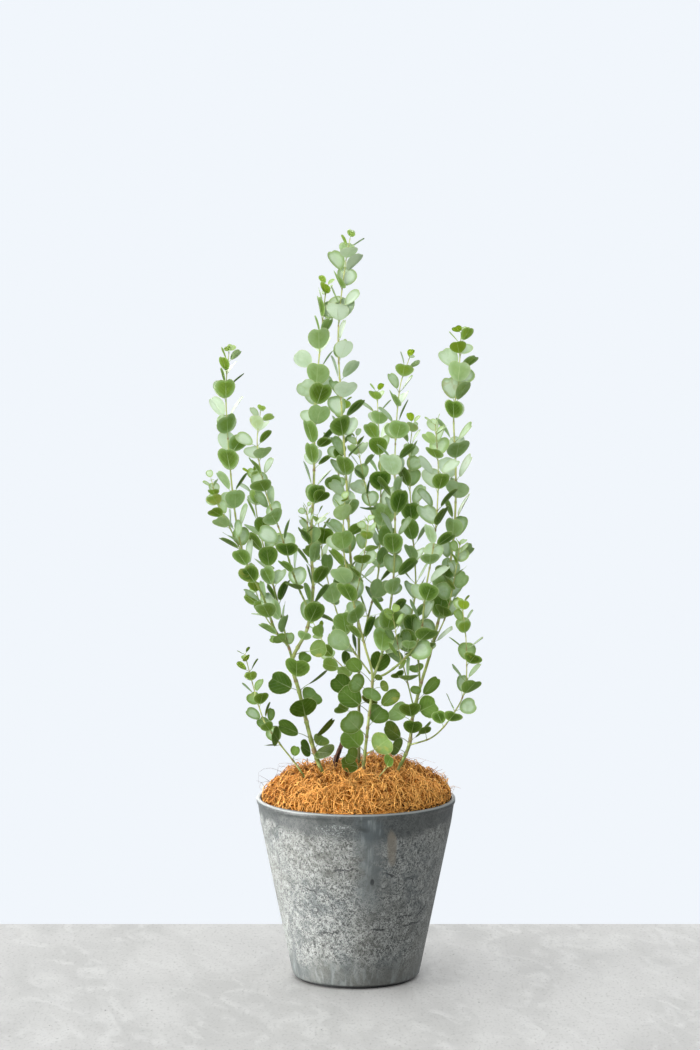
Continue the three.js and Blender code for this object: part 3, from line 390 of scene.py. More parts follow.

# %% [markdown]
# ## The planter
#
# It is a cast, hollow, tapered pot with a thin wall, a recessed foot painted near black as its
# shade, and a narrow lip. Its shape is a profile turned about the axis, which is why a point
# depends only on its step in the profile and its angle. The finish imitates stone: slate grey
# resin with fine pale scratches, a few dark cracks, a smoother dark band under the lip and
# streaks near the foot.

# %% Pot shape
_, pot_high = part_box("pot")
POT_HEIGHT = pot_high.z
LIP_RADIUS = pot_high.x
FOOT_RADIUS = 0.080
FOOT_HEIGHT = 0.003
BODY_FOOT_RADIUS = 0.087
BODY_FOOT_HEIGHT = 0.0065
SHOULDER_RADIUS = 0.1303
SHOULDER_HEIGHT = 0.217
NECK_RADIUS = 0.1336
NECK_HEIGHT = 0.240
LIP_INNER_RADIUS = 0.130
WALL = 0.0048
POT_FLOOR_HEIGHT = 0.012
POT_FLOOR_RADIUS = 0.0805
FOOT_ROUND = 0.003
LIP_ROUND = 0.003
POT_SIDES = 160
EDGE_ROUND = 0.0012
SIDE_TO_CUT = 2.2
LONGEST_STEP = 0.006


def fillet(profile, radius, steps=3):
    """Each corner of a profile becomes a short arc: a curve between points near it.

    Both points lie at the radius from the corner, or nearer where a side is short.
    """
    middle = profile[1:-1]
    before, after = profile[:-2] - middle, profile[2:] - middle
    shorter = np.minimum(np.linalg.norm(before, axis=1), np.linalg.norm(after, axis=1))
    cut = np.minimum(shorter / SIDE_TO_CUT, radius)
    start = middle + unit(before) * cut[:, None]
    end = middle + unit(after) * cut[:, None]
    share = np.linspace(0, 1, steps)[None, :, None]
    arcs = (1 - share) ** 2 * start[:, None] + 2 * share * (1 - share) * middle[:, None]
    arcs = arcs + share ** 2 * end[:, None]
    return np.concatenate([profile[:1], arcs.reshape(-1, 2), profile[-1:]])


def densify(profile, longest):
    """Adds points along the straight runs of a profile, so that none is longer than that."""
    parts = []
    for start, end in zip(profile[:-1], profile[1:]):
        pieces = max(1, math.ceil(np.linalg.norm(end - start) / longest))
        parts.append(start + (end - start) * np.arange(pieces)[:, None] / pieces)
    return np.concatenate(parts + [profile[-1:]])


def turned_surface(profile, sides):
    """Points (steps, sides, 3) at radius r and height h: (r cos a, r sin a, h)."""
    angle = 2 * np.pi * np.arange(sides) / sides
    radius, height = profile[:, 0, None], profile[:, 1, None]
    return np.stack([radius * np.cos(angle), radius * np.sin(angle), height + 0 * angle], -1)


def close_poles(rings, sides):
    """Fans from the first and last point, which are poles, to the rings next to them."""
    k = np.arange(sides)
    following = (k + 1) % sides
    last = 1 + rings * sides
    first_fan = np.stack([0 * k, 1 + following, 1 + k], -1)
    low = 1 + (rings - 1) * sides
    last_fan = np.stack([0 * k + last, low + k, low + following], -1)
    return np.concatenate([first_fan, last_fan])


def lathe(profile, sides):
    """Closed points and faces of a profile whose two ends are on the axis."""
    body = turned_surface(profile[1:-1], sides).reshape(-1, 3)
    poles = np.array([[[0, 0, profile[0, 1]]], [[0, 0, profile[-1, 1]]]])
    rings = len(profile) - 2
    faces = [ring_faces(rings, sides) + 1, close_poles(rings, sides)]
    return np.concatenate([poles[0], body, poles[1]]), faces


pot_outline = np.array([
    (0, 0), (FOOT_RADIUS, 0), (FOOT_RADIUS, FOOT_HEIGHT), (BODY_FOOT_RADIUS - FOOT_ROUND, FOOT_HEIGHT),
    (BODY_FOOT_RADIUS, BODY_FOOT_HEIGHT), (SHOULDER_RADIUS, SHOULDER_HEIGHT),
    (NECK_RADIUS, NECK_HEIGHT), (LIP_RADIUS, NECK_HEIGHT + LIP_ROUND), (LIP_RADIUS, POT_HEIGHT),
    (LIP_INNER_RADIUS, POT_HEIGHT), (LIP_INNER_RADIUS, NECK_HEIGHT),
    (SHOULDER_RADIUS - WALL, SHOULDER_HEIGHT), (POT_FLOOR_RADIUS, POT_FLOOR_HEIGHT),
    (0, POT_FLOOR_HEIGHT),
])
pot_points, pot_faces = lathe(densify(fillet(pot_outline, EDGE_ROUND), LONGEST_STEP), POT_SIDES)
print("pot height and width:", round(POT_HEIGHT, 4), round(2 * LIP_RADIUS, 4))


# %% Threads and cracks
# Each set of threads: its lumps a metre, their width as a share of the noise, and their lean
# in degrees
THREADS = [(230, 0.055, 38), (290, 0.060, -34), (140, 0.035, -70)]


def threads(tree, place, scale, width, lean):
    """Thin scratches along a lean: where a drawn-out noise is within a width of its middle."""
    noise = cloud(tree, place, scale, 3, 0.8, stretch=(1, 1, 0.30), turn=(0, lean, 0))
    return step(tree, off_by(tree, noise, 0.5), width, width * 0.15)


def spot(tree, x, z, middle, half_size):
    """1 at a place on the front of the pot, falling to 0 at that distance across and up."""
    across = calculate(tree, "DIVIDE", calculate(tree, "SUBTRACT", x, middle[0]), half_size[0])
    up = calculate(tree, "DIVIDE", calculate(tree, "SUBTRACT", z, middle[1]), half_size[1])
    squares = [times(tree, off, off) for off in (across, up)]
    return step(tree, calculate(tree, "ADD", *squares), 1.0, 0.3)


# Where the cracks are: the middle across and up, half the length, and the slope
CRACKS = [(0.066, 0.101, 0.012, 0.1), (0.088, 0.104, 0.010, 0.9), (0.074, 0.088, 0.014, 0.05),
          (-0.034, 0.081, 0.014, 0.12), (-0.019, 0.171, 0.013, 0.05), (0.030, 0.086, 0.012, -0.1),
          (-0.062, 0.140, 0.012, -0.25), (0.046, 0.162, 0.009, -0.5)]
CRACK_WIDTH = 0.0018


def cracks(tree, x, z, wobble):
    """Each crack is a line z = up + slope (x - middle) + wobble, as long as its own spot."""
    mark = 0.0
    for middle, up, half_length, slope in CRACKS:
        run = times(tree, calculate(tree, "SUBTRACT", x, middle), slope)
        off_line = calculate(tree, "SUBTRACT", calculate(tree, "SUBTRACT", z, up), run)
        off_line = calculate(tree, "ABSOLUTE", calculate(tree, "ADD", off_line, wobble))
        line = step(tree, off_line, CRACK_WIDTH, CRACK_WIDTH * 0.3)
        near = spot(tree, x, z, (middle, up), (half_length, half_length))
        mark = calculate(tree, "MAXIMUM", mark, times(tree, line, near))
    return mark


# %% Pot zones
# Each pair is where a zone starts and where it is full, in metres. They are heights, apart
# from the smear's edge, a distance from its middle, and the front's, a place in depth.
BAND_EDGE = (0.222, 0.236)
BAND_MIDDLE = 0.02
BAND_SAG = -0.10
STREAKS_EDGE = (0.072, 0.036)
LIP_EDGE = (0.2458, 0.2474)
# Painted shade at the foot: the height where it starts and where it is full
FOOT_SHADE_EDGE = (0.0062, 0.0036)
SMEAR_MIDDLE = 0.045
SMEAR_EDGE = (0.028, 0.004)
SMEAR_FADE = (0.10, 0.20)
FRONT_EDGE = (0.0, -0.03)
ZONE_WAVER = 0.04
SMEAR_WAVER = 0.05


def resin_zones(tree, place, haze):
    """Places across and up, and masks of the zones, whose edges waver with a slow noise."""
    x, y, z = add_node(tree, "ShaderNodeSeparateXYZ", {0: place}).outputs
    front = step(tree, y, *FRONT_EDGE)
    wavering = calculate(tree, "MULTIPLY_ADD", cloud(tree, place, 22, 4, 0.8), ZONE_WAVER, z)
    sagging = calculate(tree, "MULTIPLY_ADD", off_by(tree, x, BAND_MIDDLE), BAND_SAG, wavering)
    under_lip = step(tree, sagging, *BAND_EDGE)
    near_foot = step(tree, wavering, *STREAKS_EDGE)
    off_smear = off_by(tree, calculate(tree, "MULTIPLY_ADD", haze, SMEAR_WAVER, x), SMEAR_MIDDLE)
    smear = times(tree, step(tree, off_smear, *SMEAR_EDGE), front, step(tree, wavering, *SMEAR_FADE))
    return x, z, wavering, front, under_lip, near_foot, smear


# %% Pot finish
RESIN_DARK = (0.056, 0.066, 0.068, 1)
RESIN_LIGHT = (0.080, 0.083, 0.075, 1)
RESIN_HAZE = (0.095, 0.101, 0.096, 1)
BAND_DARK = (0.020, 0.025, 0.026, 1)
THREAD_PALE = (0.34, 0.355, 0.34, 1)
SPECK_DARK = (0.012, 0.014, 0.014, 1)
SMEAR_GREY = (0.075, 0.092, 0.098, 1)
STREAK_PALE = (0.21, 0.235, 0.235, 1)
PATCH_TAN = (0.165, 0.145, 0.112, 1)
CRACK_DARK = (0.014, 0.017, 0.018, 1)
DUST_PALE = (0.44, 0.47, 0.46, 1)
LIP_PALE = (0.26, 0.28, 0.275, 1)
# Painted shade, near black, on the foot and the bottom of the wall
FOOT_PAINTED_SHADE = (0.012, 0.013, 0.014, 1)
# Each spot's middle, across and up, and half its width and height
TAN_PATCH = ((0.048, 0.222), (0.008, 0.030))
CHIP = ((0.022, 0.154), (0.0032, 0.0055))
DUSTING = ((-0.026, 0.2265), (0.036, 0.010))


def slate_resin():
    """Dark grey with pale threads, the band under the lip, the smear, streaks and cracks."""
    made, tree, shader, place = new_material("slate_resin", Roughness=0.55)
    patches = cloud(tree, place, 10, 5, 0.7)
    haze = cloud(tree, place, 45, 5, 1.2)
    streaks = cloud(tree, place, 170, 4, 0.4, stretch=(1, 1, 0.08))
    specks = cloud(tree, place, 300, 3, 1.6)
    split = cloud(tree, place, 120, 5, 1.0)
    x, z, wavering, front, under_lip, near_foot, smear = resin_zones(tree, place, haze)
    rough_zone = calculate(tree, "SUBTRACT", 1, calculate(tree, "MAXIMUM", under_lip, near_foot))
    unsmeared = calculate(tree, "MULTIPLY_ADD", smear, -0.75, 1.0)

    tangle = 0.0
    for scale, width, lean in THREADS:
        tangle = calculate(tree, "MAXIMUM", tangle, threads(tree, place, scale, width, lean))
    mostly_rough = calculate(tree, "MULTIPLY_ADD", rough_zone, 0.82, 0.18)
    tangle = times(tree, tangle, step(tree, haze, 0.20, 0.58), mostly_rough, unsmeared)
    dark = times(tree, step(tree, specks, 0.53, 0.62), rough_zone, unsmeared)
    colour = blend(tree, step(tree, patches, 0.40, 0.62), RESIN_DARK, RESIN_LIGHT)
    colour = blend(tree, step(tree, haze, 0.42, 0.72), colour, RESIN_HAZE)
    colour = paint(tree, colour, under_lip, 0.85, BAND_DARK)
    colour = paint(tree, colour, tangle, 0.78, THREAD_PALE)
    colour = paint(tree, colour, dark, 0.8, SPECK_DARK)

    streaked = calculate(tree, "MAXIMUM", near_foot, smear)
    line = times(tree, step(tree, streaks, 0.50, 0.68), streaked)
    tan = times(tree, spot(tree, x, wavering, *TAN_PATCH), front)
    colour = paint(tree, colour, smear, 0.6, SMEAR_GREY)
    colour = paint(tree, colour, line, 0.5, STREAK_PALE)
    colour = paint(tree, colour, tan, 0.7, PATCH_TAN)

    wobble = times(tree, calculate(tree, "SUBTRACT", split, 0.5), 0.010)
    broken = times(tree, cracks(tree, x, z, wobble), front)
    broken = calculate(tree, "MAXIMUM", broken, times(tree, spot(tree, x, z, *CHIP), front))
    dusting = times(tree, spot(tree, x, z, *DUSTING), front, step(tree, specks, 0.46, 0.68))
    colour = paint(tree, colour, broken, 0.85, CRACK_DARK)
    colour = paint(tree, colour, dusting, 0.4, DUST_PALE)
    colour = paint(tree, colour, step(tree, z, *LIP_EDGE), 0.8, LIP_PALE)
    # Painted shade: the foot and the bottom of the wall turn near black
    colour = blend(tree, step(tree, z, *FOOT_SHADE_EDGE), colour, FOOT_PAINTED_SHADE)
    tree.links.new(colour, shader.inputs["Base Color"])

    worn = calculate(tree, "MULTIPLY_ADD", tangle, 0.22, 0.46)
    tree.links.new(worn, shader.inputs["Roughness"])
    sunk = calculate(tree, "ADD", dark, times(tree, broken, 2))
    add_bump(tree, shader, calculate(tree, "SUBTRACT", tangle, sunk), 0.00035, 0.8)
    return made


new_piece("stone_resin_pot", pot_points, pot_faces, slate_resin(), ["pot"])

# %% [markdown]
# ## The soil
#
# The soil is hidden by the fibre, so its solid keeps its shape. It only gets a dark, crumbly
# finish, which would show if the fibre were pushed aside.

# %% Soil finish
SOIL_DARK = (0.010, 0.007, 0.005, 1)
SOIL_LIGHT = (0.055, 0.035, 0.022, 1)


def crumbly_soil():
    """Dark brown crumbs."""
    made, tree, shader, place = new_material("crumbly_soil", Roughness=0.95)
    crumbs = cloud(tree, place, 210, 6)
    colour = blend(tree, step(tree, crumbs, 0.35, 0.65), SOIL_DARK, SOIL_LIGHT)
    tree.links.new(colour, shader.inputs["Base Color"])
    add_bump(tree, shader, crumbs, 0.002)
    return made


soil_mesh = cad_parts["potting_soil"].data
soil_mesh.materials.clear()
soil_mesh.materials.append(crumbly_soil())
print("soil finish on", soil_mesh.name)

# %% [markdown]
# ## The coconut fibre
#
# A handful of pulled coir covers the soil: a springy mat of thin golden-brown fibres with dark
# gaps, higher than the lip, with loose ends that stand out. A rough heap alone would look like
# felt, so thousands of three-sided fibres lie on it, each a curved path that follows the heap.

# %% Seeded draws
SEED = 18
WORD = 0xFFFFFFFF


def draw(owner, number, purpose):
    """A number from 0 to 1 that depends only on its three counts, by shifts and products."""
    mix = (SEED + owner * 7919 + number * 10473 + purpose * 1299709) & WORD
    mix = ((mix ^ (mix >> 15)) * 0x2C1B3C6D) & WORD
    mix = ((mix ^ (mix >> 12)) * 0x297A2D39) & WORD
    return (mix ^ (mix >> 15)) / 2 ** 32


# %% Heap shape
EDGE_HEIGHT = 0.243
DOME = 0.041
SLOPE = 0.05
DOME_POWER = 2.5
FADE_POWER = 6
# Each knoll, or hollow where its height is below 0: its place, its height and its radius
KNOLLS = [(0.040, 0.022, 0.011, 0.030), (0.110, -0.004, -0.022, 0.036),
          (-0.084, 0.018, 0.006, 0.026), (-0.028, 0.034, -0.008, 0.024)]
CLUMP_DRAW = 92
CLUMP_WAVES = 16
CLUMP_LENGTH = 0.030
CLUMP_HEIGHT = 0.0038
TUFT_HEIGHTS = (0.0026, 0.0012)
FELT_HEIGHT = 0.0009
MAT_DEPTH = 0.0015
MAT_GAP = 0.0025
FIBRE_GAP = 0.0008
HEAP_RINGS = 70
HEAP_SIDES = 220


def clumps(x, y):
    """Bumps from about -1 to 1: the sum of sin(k (x cos h + y sin h) + p) over seeded waves."""
    counts = range(CLUMP_WAVES)
    heading = 2 * np.pi * np.array([draw(CLUMP_DRAW, i, 1) for i in counts])
    phase = 2 * np.pi * np.array([draw(CLUMP_DRAW, i, 2) for i in counts])
    length = CLUMP_LENGTH * (0.6 + np.array([draw(CLUMP_DRAW, i, 3) for i in counts]))
    across = x[..., None] * np.cos(heading) + y[..., None] * np.sin(heading)
    return np.sin(across * 2 * np.pi / length + phase).sum(-1) / math.sqrt(CLUMP_WAVES)


def heap_top(x, y):
    """Height of the heap: a dome with steep sides, higher to the right, with knolls and clumps."""
    share = np.minimum(np.hypot(x, y) / LIP_INNER_RADIUS, 1)
    dome = DOME * np.sqrt(1 - share ** DOME_POWER)
    rough = CLUMP_HEIGHT * clumps(x, y)
    for knoll_x, knoll_y, height, radius in KNOLLS:
        rough = rough + height * np.exp(-((x - knoll_x) ** 2 + (y - knoll_y) ** 2) / radius ** 2)
    return EDGE_HEIGHT + dome + SLOPE * x + rough * (1 - share ** FADE_POWER)


def tufts(x, y):
    """Smaller tufts and pits of the mat, in metres, fading out at the wall."""
    fade = 1 - np.minimum(np.hypot(x, y) / LIP_INNER_RADIUS, 1) ** FADE_POWER
    coarse, fine = plane_waves(x, y, 2, 0.014), plane_waves(x, y, 4, 0.007)
    return fade * (TUFT_HEIGHTS[0] * coarse + TUFT_HEIGHTS[1] * fine)


def heap_surface():
    """A grid of rings and angles: height = heap + tufts + fine felt - a little to sit low."""
    ring = np.sin(np.pi / 2 * np.arange(1, HEAP_RINGS + 1) / HEAP_RINGS)[:, None]
    angle = 2 * np.pi * np.arange(HEAP_SIDES) / HEAP_SIDES
    radius = (LIP_INNER_RADIUS - MAT_GAP) * ring
    x, y = radius * np.cos(angle), radius * np.sin(angle)
    fade = 1 - ring ** FADE_POWER
    felt = FELT_HEIGHT * plane_waves(x, y, 3, 0.0045, 26) * fade
    z = heap_top(x, y) + tufts(x, y) + felt - MAT_DEPTH * fade
    return np.stack([x, y, z], -1)


UNDERSIDE_HEIGHT = 0.2245
UNDERSIDE_MIDDLE = 0.2665
UNDERSIDE_SHARE = 0.97
top = heap_surface()
edge_x, edge_y = top[-1, :, 0] * UNDERSIDE_SHARE, top[-1, :, 1] * UNDERSIDE_SHARE
under_edge = np.stack([edge_x, edge_y, np.full(HEAP_SIDES, UNDERSIDE_HEIGHT)], -1)
crown = np.array([[0, 0, top[0, :, 2].mean()]])
base = np.array([[0, 0, UNDERSIDE_MIDDLE]])
heap_points = np.concatenate([base, under_edge, top[::-1].reshape(-1, 3), crown])
heap_faces = [ring_faces(HEAP_RINGS + 1, HEAP_SIDES) + 1, close_poles(HEAP_RINGS + 1, HEAP_SIDES)]
print("heap stands", round(float(top[..., 2].max() - POT_HEIGHT), 3), "m above the lip")


# %% Coir finishes
COIR_DARK = (0.060, 0.022, 0.006, 1)
COIR_MID = (0.44, 0.155, 0.018, 1)
COIR_LIGHT = (0.92, 0.49, 0.13, 1)
# Painted light: the fibre is lighter to the right
PAINTED_LIGHT_TO_RIGHT = 1.3
# Painted shade: this is below 0, so the fibre is darker to the back
PAINTED_LIGHT_TO_BACK = -2.6
# The mat's darkest colour is partly painted shade, for the gaps between the fibres
MAT_DARK_AND_SHADE = (0.012, 0.005, 0.002, 1)
MAT_BROWN = (0.11, 0.042, 0.008, 1)
MAT_GOLD = (0.20, 0.080, 0.014, 1)


def coir_fibre():
    """Golden-brown fibre, light as its attribute says, with painted light to right and front."""
    made, tree, shader, place = new_material("coir_fibre", Roughness=0.7, Specular_IOR_Level=0.15)
    x, y, _ = add_node(tree, "ShaderNodeSeparateXYZ", {0: place}).outputs
    # Painted light to the right and front, painted shade to the back
    shade = calculate(tree, "MULTIPLY_ADD", x, PAINTED_LIGHT_TO_RIGHT, read_attribute(tree, "fibre")[0])
    shade = calculate(tree, "MULTIPLY_ADD", y, PAINTED_LIGHT_TO_BACK, shade)
    fleck = cloud(tree, place, 190, 4)
    colour = blend(tree, step(tree, shade, 0.0, 0.5), COIR_DARK, COIR_MID)
    colour = blend(tree, step(tree, shade, 0.5, 1.0), colour, COIR_LIGHT)
    colour = blend(tree, step(tree, fleck, 0.54, 0.70), colour, COIR_DARK)
    tree.links.new(colour, shader.inputs["Base Color"])
    return made


def coir_mat():
    """The dark mat under the single fibres, partly painted shade, felted, browner in its tangles."""
    made, tree, shader, place = new_material("coir_mat", Roughness=0.9, Specular_IOR_Level=0.1)
    felt = cloud(tree, place, 330, 5, 2.0)
    tangle = cloud(tree, place, 120, 5, 2.5)
    colour = blend(tree, step(tree, felt, 0.42, 0.62), MAT_DARK_AND_SHADE, MAT_BROWN)
    colour = blend(tree, step(tree, tangle, 0.5, 0.7), colour, MAT_GOLD)
    tree.links.new(colour, shader.inputs["Base Color"])
    add_bump(tree, shader, felt, 0.0015)
    return made


new_piece("coir_heap", heap_points, heap_faces, coir_mat(), ["coir_mulch"])

# %% Coir fibres
FIBRE_STEPS = 8
FIBRE_SIDES = 3
FIBRE_BEND = 1.5
FIBRE_SWING = 0.8
FIBRE_ENDS = (-0.0035, 0.001)
FIBRE_THINNING = 0.45


def fibre_paths(count, seed, lengths, lifts, radii, reach, inner):
    """Paths that wander over the heap.

    The heading turns as h + bend s + swing sin(2 pi s + phase), the path is the running sum of
    small steps in that heading, and its height is the heap's plus an arch, lift sin(pi s).
    """
    rng = np.random.default_rng(seed)
    share = np.linspace(0, 1, FIBRE_STEPS)
    start_angle = rng.uniform(0, 2 * np.pi, (count, 1))
    start_radius = LIP_INNER_RADIUS * np.sqrt(rng.uniform(inner ** 2, reach ** 2, (count, 1)))
    heading = rng.uniform(0, 2 * np.pi, (count, 1))
    heading = heading + rng.normal(0, FIBRE_BEND, (count, 1)) * share
    phase = rng.uniform(0, 2 * np.pi, (count, 1))
    heading = heading + rng.normal(0, FIBRE_SWING, (count, 1)) * np.sin(2 * np.pi * share + phase)
    length = rng.uniform(*lengths, (count, 1))
    stride = length / (FIBRE_STEPS - 1)
    x = start_radius * np.cos(start_angle) + np.cumsum(np.cos(heading), 1) * stride
    y = start_radius * np.sin(start_angle) + np.cumsum(np.sin(heading), 1) * stride
    x, y = x - length * np.cos(heading[:, :1]) / 2, y - length * np.sin(heading[:, :1]) / 2
    inward = np.minimum(1, (LIP_INNER_RADIUS - FIBRE_GAP) / np.hypot(x, y))
    x, y = x * inward, y * inward
    lift = rng.uniform(*lifts, (count, 1))
    ends = rng.uniform(*FIBRE_ENDS, (count, 1))
    z = heap_top(x, y) + tufts(x, y) + ends + lift * np.sin(np.pi * share)
    thickness = rng.uniform(*radii, (count, 1)) * (1 - FIBRE_THINNING * (2 * share - 1) ** 2)
    return np.stack([x, y, z], -1), thickness, rng


coir_finish = coir_fibre()


def add_fibres(name, paths, radii, shade):
    """One piece of many fibres, each with its own shade on all its points."""
    up = np.array([0.0, 0.0, 1.0])
    points, faces = rods(paths, radii, FIBRE_SIDES, up)
    piece = new_piece(name, points.reshape(-1, 3), faces, coir_finish, ["coir_mulch"])
    tone = np.broadcast_to(shade[:, None, None, None], (*points.shape[:3], 4))
    add_attribute(piece, "fibre", tone.reshape(-1, 4))


# Each layer's count, seed, lengths, lifts and radii from least to most, the outer and the
# inner limit of where its fibres lie as shares of the radius, and its shades from dark to light
FIBRE_LAYERS = {
    "coir_fibres_deep": (3000, 11, (0.018, 0.045), (-0.001, 0.003), (0.0003, 0.0006), 0.99, 0, (0.0, 0.35)),
    "coir_fibres_edge": (1600, 15, (0.012, 0.03), (-0.010, 0.004), (0.0003, 0.0005), 1, 0.88, (0.2, 0.9)),
    "coir_fibres_mid": (3400, 12, (0.018, 0.05), (0.001, 0.006), (0.0003, 0.0005), 0.98, 0, (0.1, 0.65)),
    "coir_fibres_top": (1900, 13, (0.015, 0.05), (0.002, 0.015), (0.0004, 0.0007), 0.96, 0, (0.55, 1.1)),
    "coir_husk_crumbs": (170, 14, (0.003, 0.010), (0.004, 0.009), (0.0005, 0.0010), 0.99, 0, (0.0, 0.08)),
}
for layer, (count, seed, lengths, lifts, radii, reach, inner, shades) in FIBRE_LAYERS.items():
    paths, thickness, rng = fibre_paths(count, seed, lengths, lifts, radii, reach, inner)
    add_fibres(layer, paths, thickness, rng.uniform(*shades, count))


# %% Loose ends
LOOSE_START = (0.15, 0.95)
LOOSE_SCATTER = 1.5
LOOSE_BEND = 3.4
LOOSE_CLIMB = (0.2, 1.2)
LOOSE_FALL = (0.8, 3.6)
ROOT_DEPTH = 0.002
LOOSE_THINNING = 0.7
LIP_CLEARANCE = 0.001
SIDE_OVERHANG = 0.008


def loose_paths(count, seed, lengths, radii):
    """Curly fibres that spring out of the heap: they climb, arch over and turn as they go.

    The heading turns by bend s + swing sin(2 pi s + phase), the climb falls steadily from its
    first value, and the path is the running sum of small steps in that direction.
    """
    rng = np.random.default_rng(seed)
    share = np.linspace(0, 1, FIBRE_STEPS)
    angle = rng.uniform(0, 2 * np.pi, (count, 1))
    radius = LIP_INNER_RADIUS * np.sqrt(rng.uniform(*LOOSE_START, (count, 1)))
    length = rng.uniform(*lengths, (count, 1))
    scatter = rng.normal(0, LOOSE_SCATTER, (count, 1))
    heading = angle + scatter + rng.normal(0, LOOSE_BEND, (count, 1)) * share
    phase = rng.uniform(0, 2 * np.pi, (count, 1))
    heading = heading + rng.normal(0, FIBRE_SWING, (count, 1)) * np.sin(2 * np.pi * share + phase)
    climb = rng.uniform(*LOOSE_CLIMB, (count, 1)) - rng.uniform(*LOOSE_FALL, (count, 1)) * share
    stride = length / (FIBRE_STEPS - 1)
    x = radius * np.cos(angle) + np.cumsum(np.cos(heading) * np.cos(climb), 1) * stride
    y = radius * np.sin(angle) + np.cumsum(np.sin(heading) * np.cos(climb), 1) * stride
    z = np.cumsum(np.sin(climb), 1) * stride
    foot_x, foot_y = x[:, :1], y[:, :1]
    z = z + heap_top(foot_x, foot_y) + tufts(foot_x, foot_y) - ROOT_DEPTH
    thickness = rng.uniform(*radii, (count, 1)) * (1 - LOOSE_THINNING * share)
    return np.stack([x, y, z], -1), thickness, rng


# Each layer's count, seed, lengths, radii and shades. A path that would cut the lip is left out
LOOSE_LAYERS = {
    "coir_loose_ends": (1700, 21, (0.012, 0.030), (0.00028, 0.00045), (0.1, 0.8)),
    "coir_long_loops": (90, 22, (0.045, 0.085), (0.00020, 0.00030), (0.2, 0.8)),
}
SIDE_LIMIT = LIP_RADIUS + SIDE_OVERHANG
for layer, (count, seed, lengths, radii, shades) in LOOSE_LAYERS.items():
    paths, thickness, rng = loose_paths(count, seed, lengths, radii)
    over_lip = np.hypot(paths[..., 0], paths[..., 1]) < LIP_INNER_RADIUS - LIP_CLEARANCE
    clear_of_lip = (over_lip | (paths[..., 2] > POT_HEIGHT + LIP_CLEARANCE)).all(1)
    kept = clear_of_lip & (np.abs(paths[..., 1]).max(1) < SIDE_LIMIT)
    paths, thickness = paths[kept], thickness[kept]
    add_fibres(layer, paths, thickness, rng.uniform(*shades, len(paths)))
